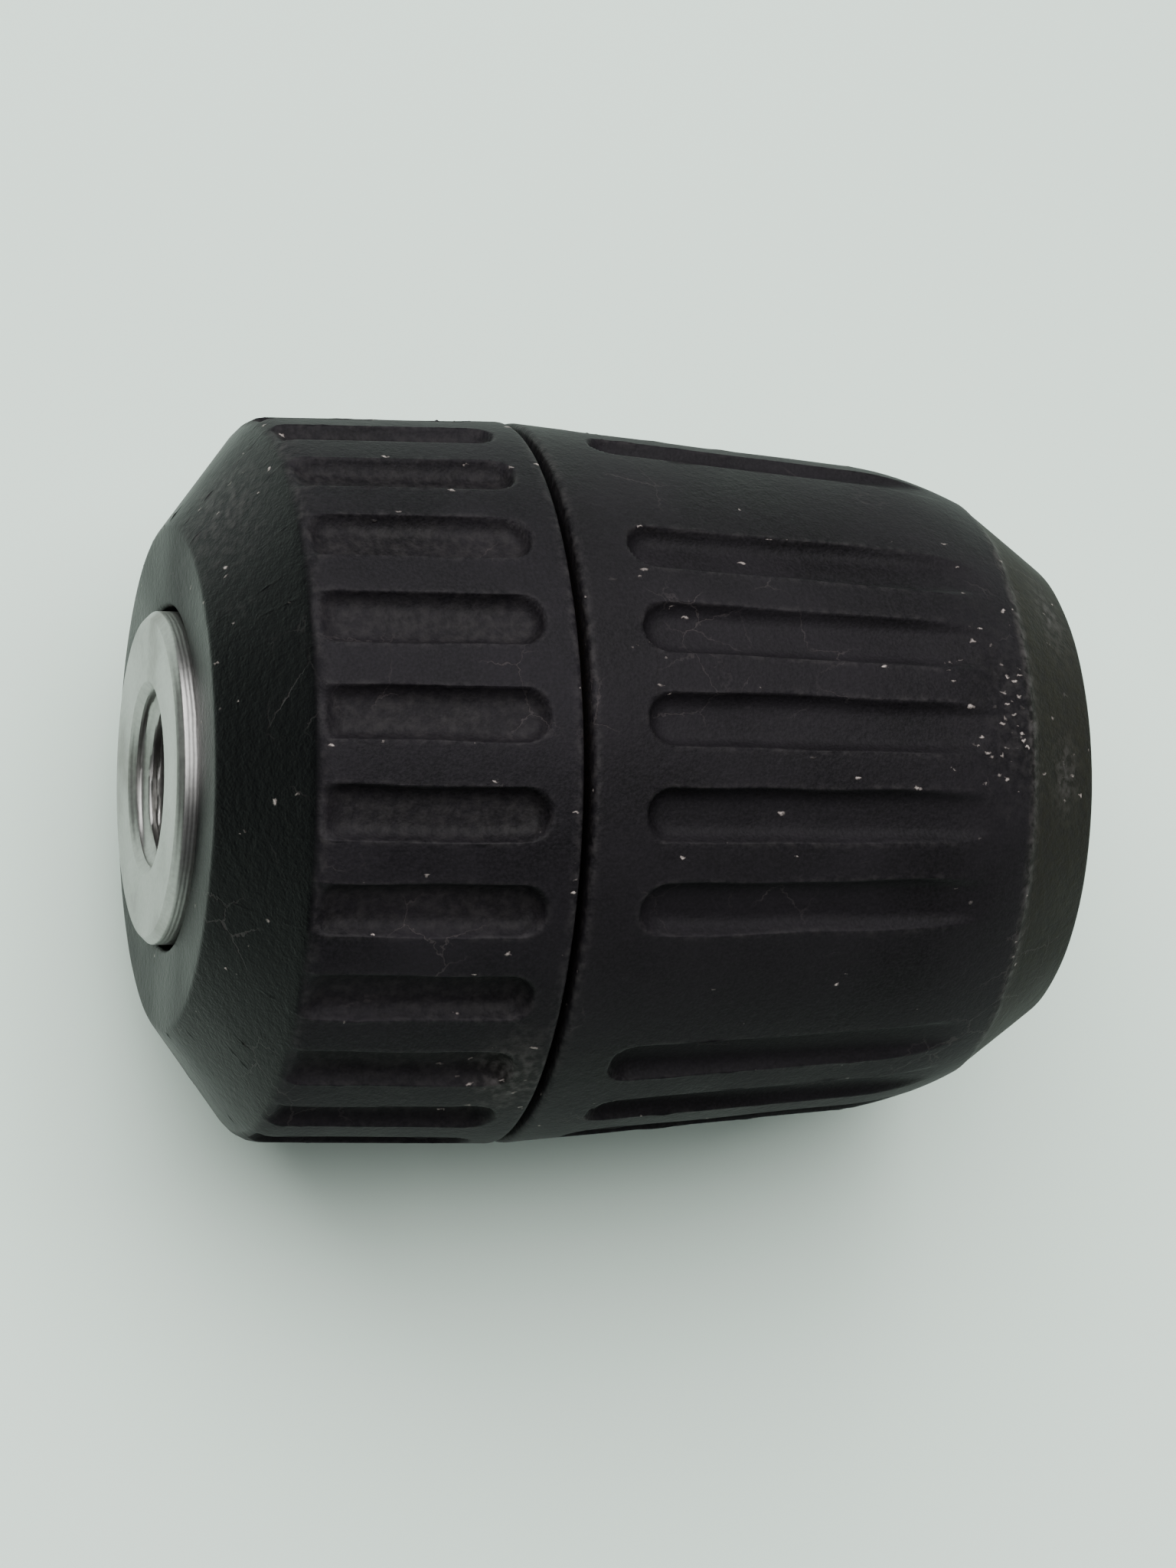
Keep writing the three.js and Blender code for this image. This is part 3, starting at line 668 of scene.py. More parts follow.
# %% Front sleeve
TAPER_LENGTH = 19
TAPER_DROP = 1.7
DOME_LENGTH = 6.6
DOME_DROP = 1.8
STEP_DROP = 0.35
STEP_LENGTH = 0.4
NOSE_DROP = 3.1
FRONT_FLUTE_END_X = SEAM_X + 3.3
FRONT_FLUTE_SHALLOW = 0.5  # depth left where the taper ends
TAPER_END_X = SEAM_X + TAPER_LENGTH
TAPER_SLOPE = TAPER_DROP / TAPER_LENGTH
DOME_END_X = TAPER_END_X + DOME_LENGTH
LUG_WIDTH = 5.0
LUG_ROOM = 0.3
LUG_COUNT = 3
JOURNAL_ROOM = 12.9
SHELL_ROOM = 15.8
BEARING_ROOM = 16.8
LIP_HOLE = 10.1
FRONT_MARKS = {
    # name: (x, degrees from the top, length in mm, width in radians)
    "dropped": (43.8, -3, 1.3, 0.2),
    "around": (42.5, 5, 2.6, 0.45),
    "cone_low": (47.4, -12, 0.8, 0.12),
    "cone_high": (47.8, 27, 0.9, 0.16),
    "flute": (22.3, 7, 0.9, 0.05),
    "by_flute": (22.5, 12, 1.6, 0.15),
}


def dome_points(count=16):
    """The dome leaves the taper smoothly and drops by slope * s + curve * s²."""
    s = np.linspace(0, DOME_LENGTH, count + 1)
    curve = (DOME_DROP - TAPER_SLOPE * DOME_LENGTH) / DOME_LENGTH ** 2
    drop = TAPER_DROP + TAPER_SLOPE * s + curve * s * s
    return np.stack([TAPER_END_X + s, GRIP_RADIUS - drop], axis=-1)


def on_taper(x):
    return GRIP_RADIUS - TAPER_SLOPE * (x - SEAM_X)


def front_sleeve_rows():
    dome = [(x, radius, 0, 1) for x, radius in dome_points()]
    dome_end = dome[-1][1]
    rim = dome_end - STEP_DROP - NOSE_DROP
    fine_x = FRONT_FLUTE_END_X - 0.25
    fine_end_x = FRONT_FLUTE_END_X + 1.15 * FLUTE_HALF
    lip_x = RING_X - LUG_ROOM - 2.2
    shoulder_x = SHELL_END_X + LUG_ROOM
    return rounded_outline([
        (FRONT_X, on_taper(FRONT_X), 0.32, 0.35),
        (FRONT_X + 0.8, on_taper(FRONT_X + 0.8), 0, 0.5),
        (fine_x, on_taper(fine_x), 0, 0.13),
        (fine_end_x, on_taper(fine_end_x), 0, 0.8),
        *dome[:-1],
        (DOME_END_X, dome_end, 0.18, 0.12),
        (DOME_END_X + STEP_LENGTH, dome_end - STEP_DROP, 0.25, 0.45),
        (NOSE_X, rim, 0.45, 0.5),
        (NOSE_X, RING_RADIUS + LUG_ROOM, 0.15, 3),
        (RING_X - LUG_ROOM, RING_RADIUS + LUG_ROOM, 0.15, 3),
        (RING_X - LUG_ROOM, LIP_HOLE, 0.2, 3),
        (lip_x, LIP_HOLE, 0.3, 5),
        (lip_x - 3.1, JOURNAL_ROOM, 0.5, 7),
        (shoulder_x, JOURNAL_ROOM, 0.2, 2),
        (shoulder_x, SHELL_ROOM, 0.3, 3),
        (SHELL_X + 5.3, SHELL_ROOM, 0, 0.2),
        (SHELL_X + 4.9, SHELL_ROOM, 0, 2),
        (SHELL_X, SHELL_ROOM, 0, 1),
        (SHELL_X, BEARING_ROOM, 0.2, 2),
        (FRONT_X, BEARING_ROOM, 0.25, 1),
    ])


def lug_slots(x, radius, angle):
    """Room for the nut's lugs: three slots with a flat top at LUG_TOP + room and sides
    half a lug and the room away. Each is open at the seam and ends past the lug."""
    third = TURN / LUG_COUNT
    turned = (angle + third / 2) % third - third / 2
    top = (LUG_TOP + LUG_ROOM) / np.cos(turned)
    sideways = np.abs(radius * np.sin(turned))
    half = LUG_WIDTH / 2 + LUG_ROOM
    between_sides = 1 - blend_in(sideways, half - 0.15, half + 0.15)
    before_end = 1 - blend_in(x, SHELL_X + 5.0, SHELL_X + 5.2)
    return radius + np.maximum(top - radius, 0) * between_sides * before_end


def front_sleeve():
    rows = front_sleeve_rows()
    x, radius = rows[:, :1], rows[:, 1:]
    angle, across = columns_for_flutes(rows[:, 1])
    wave = unevenness(x, angle, seed=8)
    inner = np.arange(len(rows))[:, None] > np.argmax(rows[:, 0] >= NOSE_X - 1e-6) + 2
    start = on_taper(FRONT_FLUTE_END_X) - FLUTE_DEPTH
    end = on_taper(TAPER_END_X) - FRONT_FLUTE_SHALLOW
    slope = (start - end) / (TAPER_END_X - FRONT_FLUTE_END_X)
    floor = start - slope * (x - FRONT_FLUTE_END_X)
    past = FRONT_FLUTE_END_X + FLUTE_HALF - x
    flutes, d = flute_height(across + 0.06 * wave, past + 0.1 * wave, floor + 0.03 * wave)
    place = np.arange(angle.shape[1]) // (angle.shape[1] // FLUTES)
    plain = place % PLAIN_EVERY == PLAIN_PLACE
    flutes = flutes + 5.0 * plain
    cut = lower_of(np.broadcast_to(radius, flutes.shape), flutes, LIP_ROUND)
    chatter = blend_in(x, DOME_END_X - 0.6, DOME_END_X)
    chatter = chatter * (1 - blend_in(x, DOME_END_X + 0.4, DOME_END_X + 1.5))
    lips = near_lip(d) * (1 - plain) * (1 - blend_in(x, TAPER_END_X, TAPER_END_X + 4)) * ~inner
    outside = cut + (0.014 + 0.05 * chatter) * wave + burrs(d.shape, 6) * lips
    final = np.where(inner, lug_slots(x, radius, angle), outside)
    piece = skin("front_sleeve_moulded", on_axis(x, final, angle), nylon)
    seam = 1 - blend_in(x, FRONT_X, FRONT_X + 0.6)
    line = np.exp(-((x - DOME_END_X - 0.1) / 0.26) ** 2)
    mark = {name: spot(x, angle, *where) for name, where in FRONT_MARKS.items()}
    dropped_on = mark["dropped"] + 0.22 * mark["around"]
    on_cone = mark["cone_low"] + mark["cone_high"]
    by_flute = mark["flute"] + 0.2 * mark["by_flute"]
    shown = ~inner * np.ones_like(angle)
    stamp(
        piece,
        worn=shown * np.clip(
            0.2 * lips + 0.35 * seam + 0.9 * line + 0.25 * dropped_on + 0.8 * on_cone, 0, 1),
        scuffed=shown * np.clip(
            0.012 + 0.85 * dropped_on + 0.9 * by_flute + 0.35 * on_cone + 0.12 * line
            + 0.05 * lips + 0.04 * seam, 0, 1),
        dusty=shown * (0.06 + 0.94 * blend_in(x, DOME_END_X - 0.3, DOME_END_X + 0.3)),
        sheltered=0 * shown,
    )
    return piece


stand_for(front_sleeve(), "sleeve_plastic", "front_sleeve")

# %% [markdown]
# ## Finishes of the metal
# The body and the ring in the nose are turned steel: a lathe leaves fine rings that catch
# the light across the feed. The jaws and the nut are hardened, blackened and oiled, so
# they are dark, with bright metal where they rub. Bearing races and balls are lapped and
# shine. The cage is stamped from brass sheet. All are metals, so their colour is the
# colour of the reflection, and only roughness and relief tell them apart.

# %% Metals


def worked_steel(name, bright, dark, rough, feed, stain="#3a2c20", stained=0.35):
    """Steel with tool marks across X. Marks are feed mm apart, and old oil has dried to a
    brown film in patches that a slow noise places."""
    material, shader, place = new_finish(name, Metallic=1.0)
    patches = add(material, "TexNoise", {"Vector": place, "Scale": per_mm(5), "Detail": 5})
    fine = add(material, "TexNoise", {"Vector": place, "Scale": per_mm(0.3), "Detail": 3})
    tone = add(material, "Mix", {
        FACTOR: fine.outputs["Fac"], COLOUR_A: linear(dark), COLOUR_B: linear(bright),
    }, data_type="RGBA")
    film = add(material, "MapRange", {
        "Value": patches.outputs["Fac"], "From Min": 0.52, "From Max": 0.72, "To Max": stained,
    })
    tone = add(material, "Mix", {
        FACTOR: film.outputs["Result"], COLOUR_A: tone.outputs[COLOUR_OUT],
        COLOUR_B: linear(stain),
    }, data_type="RGBA")
    link(material, tone.outputs[COLOUR_OUT], shader.inputs["Base Color"])
    dull = add(material, "MapRange", {
        "Value": patches.outputs["Fac"], "From Min": 0.3, "From Max": 0.7,
        "To Min": rough - 0.05, "To Max": rough + 0.12,
    })
    link(material, dull.outputs["Result"], shader.inputs["Roughness"])
    # A wave texture's bands repeat every turn / 20 units of its scaled coordinate.
    marks = add(material, "TexWave", {
        "Vector": place, "Scale": TURN / 20 / (feed * MM), "Distortion": 1.5,
        "Detail": 2, "Detail Scale": 0.5,
    }, bands_direction="X")
    relief = add(material, "Math", {
        0: marks.outputs["Fac"], 1: fine.outputs["Fac"],
    }, operation="ADD")
    bump = add(material, "Bump", {
        "Height": relief.outputs[0], "Distance": 0.006 * MM, "Strength": 0.7,
    })
    link(material, bump.outputs["Normal"], shader.inputs["Normal"])
    return material


turned_steel = worked_steel("carbon_steel_turned", "#a3a29f", "#828180", 0.36, 0.22)
zinc_steel = worked_steel("spring_steel_zinc_plated", "#b4b3ae", "#97958f", 0.33, 0.3, stained=0.5)
jaw_steel = worked_steel("tool_steel_ground_blackened", "#6d6c6d", "#4a4a4d", 0.32, 0.16, stained=0.2)
nut_steel = worked_steel("tool_steel_black_oxide", "#47474a", "#2f2f32", 0.42, 0.25)
lapped_steel = worked_steel("bearing_steel_lapped", "#c2c3c5", "#aeb0b3", 0.14, 0.4, stained=0.1)
cage_brass = worked_steel("sheet_brass_stamped", "#b0924f", "#957838", 0.34, 0.5, stain="#4a3517")
print("six metals")

# %% [markdown]
# ## Steel body
# The body is turned from bar: a boss with the spindle thread, a flange, a ledge for the
# bearing, a groove for the split nut, a journal that the front sleeve runs on, and the
# nose. The thread in the socket is real relief: its radius depends on x and on the angle,
# so it winds. Then three sloping bores are drilled through for the jaws, by a boolean,
# because a drilled hole has to cross many surfaces at once.

# %% Chuck body
JAW_SLOPE = math.radians(15.5)
JAW_RADIUS = 3.3
JAW_CLEARANCE = 0.1
APEX_X = NOSE_X + 3.0  # where the jaws' axes meet
MAX_TOOL, MIN_TOOL = 10.0, 0.8
JAW_TRAVEL = ((MAX_TOOL - MIN_TOOL) / 2 + 0.1) / math.sin(JAW_SLOPE)
TOOL_BORE = 5.2
PASSAGE = 3.3
BOSS_RADIUS = 9.0
BREAK = 0.4  # chamfers
THREAD_MAJOR = 4.8
THREAD_MINOR = 4.25
THREAD_PITCH = 25.4 / 24
THREAD_DEPTH = 14.5
FLANGE_LENGTH = 5.0
LEDGE_RADIUS = 13.2
GROOVE_RADIUS = 9.6
JOURNAL_RADIUS = JOURNAL_ROOM - LUG_ROOM
BODY_NOSE_RADIUS = 9.8


def body_rows():
    flange_end = NOSE_X - 33.0
    flange = flange_end - FLANGE_LENGTH
    ledge_end = NUT_X - LUG_ROOM
    lip = RING_X - LUG_ROOM - 2.2
    bore_end = APEX_X - (TOOL_BORE + JAW_RADIUS) / math.tan(JAW_SLOPE) - 1
    funnel_end = bore_end - (TOOL_BORE - PASSAGE)
    return rounded_outline([
        (BODY_X, THREAD_MAJOR + BREAK, 0.08, 1),
        (BODY_X, BOSS_RADIUS - BREAK, 0.1, 1),
        (BODY_X + BREAK, BOSS_RADIUS, 0.15, 3),
        (flange, BOSS_RADIUS, 0.4, 2),
        (flange, FLANGE_RADIUS - BREAK, 0.12, 1),
        (flange + BREAK, FLANGE_RADIUS, 0.12, 2),
        (flange_end - BREAK, FLANGE_RADIUS, 0.12, 1),
        (flange_end, FLANGE_RADIUS - BREAK, 0.12, 1),
        (flange_end, LEDGE_RADIUS, 0.15, 2),
        (ledge_end, LEDGE_RADIUS, 0.2, 2),
        (ledge_end, GROOVE_RADIUS, 0.4, 3),
        (NUT_END_X + 2, GROOVE_RADIUS, 0.4, 2),
        (NUT_END_X + 2, JOURNAL_RADIUS, 0.2, 4),
        (lip - 3.1, JOURNAL_RADIUS, 0.4, 2),
        (lip, BODY_NOSE_RADIUS, 0.4, 2),
        (BODY_END_X - BREAK, BODY_NOSE_RADIUS, 0.12, 1),
        (BODY_END_X, BODY_NOSE_RADIUS - BREAK, 0.12, 1),
        (BODY_END_X, TOOL_BORE + BREAK, 0.12, 1),
        (BODY_END_X - BREAK, TOOL_BORE, 0.15, 3),
        (bore_end, TOOL_BORE, 0.3, 1),
        (funnel_end, PASSAGE, 0.3, 2),
        (THREAD_DEPTH + THREAD_MAJOR - PASSAGE, PASSAGE, 0.2, 0.5),
        (THREAD_DEPTH, THREAD_MAJOR, 0, 0.09),
        (BODY_X + BREAK, THREAD_MAJOR, 0, 0.2),
    ])


def socket_thread(x, radius, angle):
    """A right-hand 60 degree thread. The phase x / pitch + angle / turn grows by one per
    pitch, and the ridge is a triangle wave of it with a flat crest and a flat root. It
    fades in and out over a pitch at both ends, as a tap leaves it."""
    phase = (x / THREAD_PITCH + angle / TURN) % 1
    ridge = np.clip(1.45 * (1 - np.abs(2 * phase - 1)) - 0.2, 0, 1)
    ends = blend_in(x, 0.3, 1.2) * (1 - blend_in(x, THREAD_DEPTH - 1.6, THREAD_DEPTH - 0.4))
    in_socket = np.abs(radius - THREAD_MAJOR) < 1e-6
    return radius - (THREAD_MAJOR - THREAD_MINOR) * ridge * ends * in_socket


def jaw_place(along, outward, sideways, number):
    """From a jaw's own directions to the chuck's: along its axis from the apex, outward
    from the chuck's axis, and sideways. The axis slopes, and jaw n sits n - 1 thirds of a
    turn round the X axis."""
    x = APEX_X + along * math.cos(JAW_SLOPE) + outward * math.sin(JAW_SLOPE)
    out = -along * math.sin(JAW_SLOPE) + outward * math.cos(JAW_SLOPE)
    turn = (number - 1) * TURN / LUG_COUNT
    y = sideways * math.cos(turn) - out * math.sin(turn)
    z = sideways * math.sin(turn) + out * math.cos(turn)
    return np.stack(np.broadcast_arrays(x, y, z), axis=-1)


def drill_for_jaw(number):
    """A round bar on the jaw's axis, from past the nose to past the flange."""
    t = TURN * np.arange(96)[None] / 96
    along = np.array([[-APEX_X / math.cos(JAW_SLOPE)], [JAW_RADIUS]])
    radius = JAW_RADIUS + JAW_CLEARANCE
    grid = jaw_place(along, radius * np.cos(t), radius * np.sin(t), number)
    return skin(f"jaw_drill_{number}", grid, turned_steel, rows="bar")


def chuck_body():
    rows = body_rows()
    columns = 160
    angle = TURN * np.arange(columns)[None] / columns
    x, radius = rows[:, :1], rows[:, 1:]
    grid = on_axis(x, socket_thread(x, radius, angle), angle)
    piece = skin("chuck_body_turned", grid, turned_steel)
    drills = [drill_for_jaw(number) for number in (1, 2, 3)]
    for drill in drills:
        cut = piece.modifiers.new(drill.name, "BOOLEAN")
        cut.operation = "DIFFERENCE"
        cut.solver = "MANIFOLD"
        cut.object = drill
    fixed = piece.evaluated_get(bpy.context.evaluated_depsgraph_get())
    mesh = bpy.data.meshes.new_from_object(fixed)
    piece.modifiers.clear()
    piece.data = mesh
    for drill in drills:
        bpy.data.objects.remove(drill)
    mesh.shade_smooth()
    mesh.set_sharp_from_angle(angle=math.radians(35))
    return piece


stand_for(chuck_body(), "body_steel", "chuck_body")

# %% [markdown]
# ## Jaws
# Each jaw is a ground steel bar that slides in its sloping bore. Its inner side is cut to
# a wedge of 120 degrees with a narrow land, which grips the drill. Its outer side has
# teeth that the nut's thread pushes. All those cuts are planes, so across the bar the
# jaw's edge, seen from a point inside it, is simply the nearest of a circle and some
# lines. Each jaw's teeth are a third of a pitch further on than the last one's, so that
# one thread fits all three.

# %% Jaws
TOOTH_PITCH = 1.5
TOOTH_DEPTH = 0.7
TOOTH_FOOT = 0.15  # half of the flat between two teeth
TOOTH_CREST = 0.3
PLAIN_TIP = 6.6  # from the apex to where the teeth may begin
LAND = MIN_TOOL / 2
APEX_AHEAD = 0.6
TIP_GAP = 0.1  # between two closed jaws


def tail_to_apex():
    """Length of the closed jaw's axis. At rest the tail's lowest x is its inner corner."""
    tail_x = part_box("jaw_1")[0].x / MM
    at_rest = (APEX_X - tail_x - JAW_RADIUS * math.sin(JAW_SLOPE)) / math.cos(JAW_SLOPE)
    return at_rest - JAW_TRAVEL


def jaw_stations(tail, offset):
    """Distances along the jaw where its section is worked out: beside each corner of each
    tooth, so that the corners come out crisp, and evenly along the plain tip. The teeth
    run out through the tail, where the nut's thread is when the chuck is closed."""
    corners = np.array([0.08, 0.12, 0.38, 0.42, 0.58, 0.62, 0.88, 0.92])
    spaces = math.floor((tail - PLAIN_TIP) / TOOTH_PITCH)
    teeth = (-tail + offset + TOOTH_PITCH * (np.arange(-1, spaces)[:, None] + corners)).ravel()
    teeth = teeth[teeth > -tail + 0.05]
    tip = np.linspace(teeth[-1] + 0.3, -APEX_AHEAD / math.cos(JAW_SLOPE) - 0.09, 36)
    return np.concatenate([[-tail], teeth, tip])[:, None], teeth[-1]


def jaw_section(along, direction, last_tooth, tail, offset):
    """Outward and sideways place of the jaw's edge at each direction across each station.

    From a middle point, the way to a line n . p = c is (c - n . middle) / (n . d) where
    that is positive. The edge is the nearest of the bar's circle and five lines: the
    land, the two grip faces, the front face and the teeth.
    """
    sine, cosine = math.sin(JAW_SLOPE), math.cos(JAW_SLOPE)
    inner = np.maximum(-JAW_RADIUS, (LAND + along * sine) / cosine)
    front = (-APEX_AHEAD - along * cosine) / sine
    from_space = np.abs((along + tail - offset) / TOOTH_PITCH % 1 - 0.5) * TOOTH_PITCH
    lean = TOOTH_DEPTH / ((TOOTH_PITCH - TOOTH_CREST) / 2 - TOOTH_FOOT)
    teeth = JAW_RADIUS - TOOTH_DEPTH + lean * np.maximum(from_space - TOOTH_FOOT, 0)
    teeth = np.where(along < last_tooth + 0.1, teeth, 2 * JAW_RADIUS)
    outer = np.minimum(np.minimum(JAW_RADIUS, front), teeth)
    middle = (inner + outer) / 2
    du, dv = np.cos(direction), np.sin(direction)
    spread = 1 / math.tan(TURN / LUG_COUNT / 2)
    slack = TIP_GAP + along * sine
    lines = [
        (-cosine, 0, -(LAND + along * sine)),
        (-cosine, spread, -slack),
        (-cosine, -spread, -slack),
        (1, 0, front),
        (1, 0, teeth),
    ]
    reach = -middle * du + np.sqrt(np.maximum(JAW_RADIUS ** 2 - (middle * dv) ** 2, 0))
    for out_part, side_part, limit in lines:
        facing = out_part * du + side_part * dv
        distance = (limit - out_part * middle) / np.maximum(facing, 1e-9)
        reach = np.where(facing > 1e-9, np.minimum(reach, distance), reach)
    reach = np.maximum(reach, 0.004)
    return middle + reach * du, reach * dv


def jaw(number, columns=120):
    tail = tail_to_apex()
    offset = (number - 1) * TOOTH_PITCH / LUG_COUNT
    along, last_tooth = jaw_stations(tail, offset)
    direction = TURN * (np.arange(columns)[None] + 0.5) / columns
    outward, sideways = jaw_section(along, direction, last_tooth, tail, offset)
    piece = skin(
        f"jaw_{number}_ground",
        jaw_place(along - JAW_TRAVEL, outward, sideways, number), jaw_steel, rows="bar",
    )
    piece.data.set_sharp_from_angle(angle=math.radians(28))
    return piece


for jaw_number in (1, 2, 3):
    stand_for(jaw(jaw_number), "jaw_steel", f"jaw_{jaw_number}")

# %% [markdown]
# ## Ring, washers and balls
# A zinc-plated ring is pressed on the nose and keeps the front sleeve on. Behind the nut
# a thrust bearing takes the push of the jaws: two lapped washers with twenty balls in a
# brass cage. These are plain turned shapes, so an outline with small fillets is enough.

# %% Plain rings


def plain_ring(name, material, start, end, inner, outer, fillet):
    """A ring of rectangular section with rounded corners."""
    rows = rounded_outline([
        (start, inner, fillet, 1), (start, outer, fillet, 1),
        (end, outer, fillet, 1), (end, inner, fillet, 1),
    ])
    return skin(name, swept(rows, 144), material)


WASHER_INNER = LEDGE_RADIUS + LUG_ROOM
stand_for(
    plain_ring("nose_ring_pressed", zinc_steel, RING_X, RING_END_X,
               BODY_NOSE_RADIUS + LUG_ROOM, RING_RADIUS, 0.25),
    "ring_steel", "nose_ring")
for side in ("rear", "front"):
    start, end, outer = span(f"thrust_washer_{side}")
    stand_for(
        plain_ring(f"thrust_washer_{side}_lapped", lapped_steel, start, end,
                   WASHER_INNER, outer, 0.12),
        "bearing_steel", f"thrust_washer_{side}")

# %% Balls
BALL_COUNT = 20
BALL_RADIUS = 1.0


def ball(name, centre):
    """A sphere: latitude p from pole to pole and longitude t give the point
    centre + r (sin p cos t, sin p sin t, cos p)."""
    p = np.linspace(0, math.pi, 17)[:, None]
    t = TURN * np.arange(28)[None] / 28
    way = np.stack([np.sin(p) * np.cos(t), np.sin(p) * np.sin(t), np.cos(p) + 0 * t], axis=-1)
    return skin(name, centre + BALL_RADIUS * way, lapped_steel, rows="ball")


for number in range(1, BALL_COUNT + 1):
    node = f"bearing_ball_{number:02d}"
    low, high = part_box(node)
    stand_for(ball(f"{node}_lapped", np.array((low + high) / 2) / MM), "bearing_steel", node)

# %% [markdown]
# ## Ball cage
# The cage is stamped from sheet, so it is made as a sheet is: one flat surface with round
# holes, which a Solidify modifier gives its thickness. Round each hole the surface is a
# grid from the circle out to the edges of that hole's share of the ring.

# %% Cage
CAGE_INNER = LEDGE_RADIUS + 0.2
POCKET_RADIUS = 1.12


def ball_cage():
    """For each pocket: s goes round it, and t goes from the circle (0) to the edge of its
    share (1). The share is a square in s, pushed out to the cage's two radii and to half
    the angle between pockets, and a point is circle + t (edge - circle)."""
    path = (CAGE_INNER + CAGE_RADIUS) / 2
    half_width = (CAGE_RADIUS - CAGE_INNER) / 2
    half_angle = TURN / BALL_COUNT / 2
    s = TURN * np.arange(32) / 32
    square = np.stack([np.cos(s), np.sin(s)]) / np.maximum(abs(np.cos(s)), abs(np.sin(s)))
    t = np.linspace(0, 1, 4)[:, None]
    out = (1 - t) * POCKET_RADIUS * np.cos(s) + t * half_width * square[0]
    along = (1 - t) * POCKET_RADIUS * np.sin(s) / path + t * half_angle * square[1]
    turn = 2 * half_angle * np.arange(BALL_COUNT)[:, None, None]
    grid = on_axis((CAGE_X + CAGE_END_X) / 2, path + out, along + turn)
    number = np.arange(grid.shape[0] * len(t) * len(s)).reshape(grid.shape[:3])
    beside = np.roll(number, -1, axis=2)
    faces = np.stack([number[:, :-1], beside[:, :-1], beside[:, 1:], number[:, 1:]], axis=-1)
    mesh = bpy.data.meshes.new("ball_cage_stamped")
    mesh.from_pydata((grid.reshape(-1, 3) * MM).tolist(), [], faces.reshape(-1, 4).tolist())
    sheet = bmesh.new()
    sheet.from_mesh(mesh)
    bmesh.ops.remove_doubles(sheet, verts=sheet.verts, dist=1e-3 * MM)
    bmesh.ops.recalc_face_normals(sheet, faces=sheet.faces)
    sheet.to_mesh(mesh)
    sheet.free()
    mesh.materials.append(cage_brass)
    piece = bpy.data.objects.new(mesh.name, mesh)
    bpy.context.scene.collection.objects.link(piece)
    thick = piece.modifiers.new("sheet thickness", "SOLIDIFY")
    thick.thickness = (CAGE_END_X - CAGE_X) * MM
    thick.offset = 0
    return piece


stand_for(ball_cage(), "cage_brass", "ball_cage")

# %% [markdown]
# ## Split nut and its shell
# The nut is made whole, with a tapering thread inside, and then cracked in two so that it
# goes round the body's groove. A drawn steel shell with three lugs holds the halves
# together, and the lugs sit in slots of the front sleeve, so the hand turns the nut.

# %% Nut halves
NUT_SPLIT = 0.15  # from the middle plane to each half
RIDGE_HEIGHT = 0.5
RIDGE_FOOT = 0.42  # half widths of the thread's ridge
RIDGE_CREST = 0.12


def jaw_reach(x):
    """Radius of the jaws' outermost line: it falls by tan(slope) for each mm of x."""
    return (APEX_X - x) * math.tan(JAW_SLOPE) + JAW_RADIUS / math.cos(JAW_SLOPE)


def nut_thread(x, angle):
    """Height of the nut's thread: one ridge that winds forward by a pitch per turn, as far
    along X as the jaws move, and sits in the middle of jaw 1's tooth spaces at angle 0."""
    pitch = TOOTH_PITCH * math.cos(JAW_SLOPE)
    space = -tail_to_apex() - JAW_TRAVEL + TOOTH_PITCH / 2
    first = APEX_X + space * math.cos(JAW_SLOPE) + (JAW_RADIUS - 0.35) * math.sin(JAW_SLOPE)
    phase = (x - first + pitch * angle / TURN) / pitch
    away = np.abs(phase - np.round(phase)) * pitch
    return RIDGE_HEIGHT * np.clip((RIDGE_FOOT - away) / (RIDGE_FOOT - RIDGE_CREST), 0, 1)


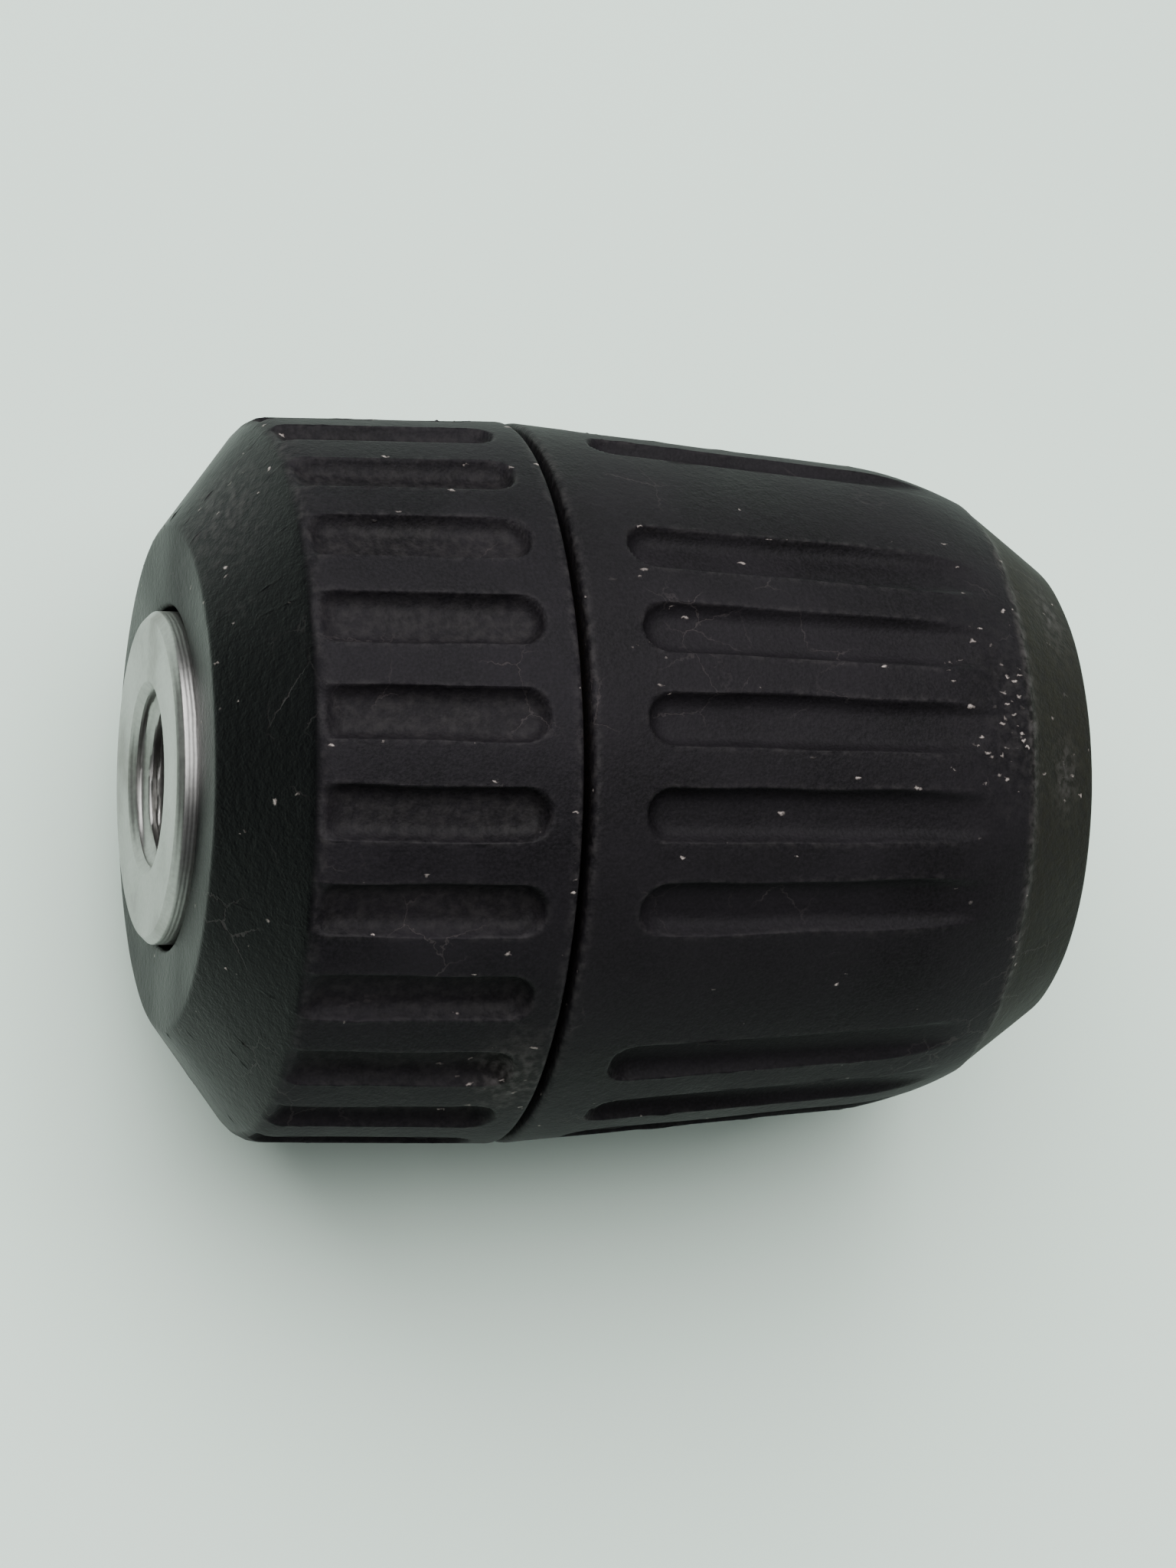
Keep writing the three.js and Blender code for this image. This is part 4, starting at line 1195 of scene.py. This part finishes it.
def nut_half(letter, half_turn):
    """Half of a swept outline. A point at radius r starts asin(split / r) from the plane,
    which keeps both cut faces flat."""
    bore = jaw_reach(NUT_X) + JAW_CLEARANCE, jaw_reach(NUT_END_X) + JAW_CLEARANCE
    rows = rounded_outline([
        (NUT_X, bore[0], 0, 0.7),
        (NUT_X, NUT_RADIUS - BREAK, 0.1, 1),
        (NUT_X + BREAK, NUT_RADIUS, 0.1, 2),
        (NUT_END_X - BREAK, NUT_RADIUS, 0.1, 1),
        (NUT_END_X, NUT_RADIUS - BREAK, 0.1, 1),
        (NUT_END_X, bore[1], 0, 0.1),
    ])
    x, radius = rows[:, 0], rows[:, 1]
    start = np.arcsin(NUT_SPLIT / radius)
    share = np.linspace(0, 1, 97)[:, None]
    angle = half_turn + start + (math.pi - 2 * start) * share
    in_bore = np.abs(radius - jaw_reach(x) - JAW_CLEARANCE) < 1e-6
    ends = blend_in(x, NUT_X, NUT_X + 0.3) * (1 - blend_in(x, NUT_END_X - 0.3, NUT_END_X))
    cut = radius - nut_thread(x, angle) * in_bore * ends
    piece = skin(f"nut_half_{letter}_threaded", on_axis(x, cut, angle), nut_steel, rows="bar")
    piece.data.set_sharp_from_angle(angle=math.radians(40))
    return piece


for letter, half_turn in (("a", 0.0), ("b", math.pi)):
    stand_for(nut_half(letter, half_turn), "nut_steel", f"nut_half_{letter}")

# %% Nut shell
SHELL_THICKNESS = 0.8
LUG_START_X, LUG_END_X = SHELL_X + 0.8, SHELL_X + 5.0


def nut_shell():
    """A drawn cup with its lugs as bumps: where |sideways| and x lie inside a lug, the
    outside rises to a flat top, over a short S-curve on every side."""
    inner = NUT_RADIUS + LUG_ROOM
    lip = (jaw_reach(NUT_END_X) + JAW_CLEARANCE + NUT_RADIUS) / 2
    floor_x = NUT_END_X + LUG_ROOM
    outer = inner + SHELL_THICKNESS
    rows = rounded_outline([
        (SHELL_X, inner, 0.15, 1),
        (SHELL_X, outer, 0.15, 0.3),
        (LUG_START_X - 0.3, outer, 0, 0.08),
        (LUG_START_X + 0.3, outer, 0, 0.6),
        (LUG_END_X - 0.3, outer, 0, 0.08),
        (LUG_END_X + 0.3, outer, 0, 0.5),
        (SHELL_END_X, outer, 0.6, 0.8),
        (SHELL_END_X, lip, 0.15, 1),
        (floor_x, lip, 0.15, 1),
        (floor_x, inner, 0.2, 2),
    ])
    x, radius = rows[:, :1], rows[:, 1:]
    angle = TURN * np.arange(432)[None] / 432
    third = TURN / LUG_COUNT
    turned = (angle + third / 2) % third - third / 2
    sideways = np.abs(radius * np.sin(turned))
    lug = 1 - blend_in(sideways, LUG_WIDTH / 2 - 0.25, LUG_WIDTH / 2)
    lug = lug * blend_in(x, LUG_START_X, LUG_START_X + 0.25)
    lug = lug * (1 - blend_in(x, LUG_END_X - 0.25, LUG_END_X))
    top = LUG_TOP / np.cos(turned)
    raised = radius + (top - radius) * lug * (radius > outer - 1e-6)
    return skin("nut_shell_drawn", on_axis(x, raised, angle), nut_steel)


stand_for(nut_shell(), "nut_steel", "nut_shell")
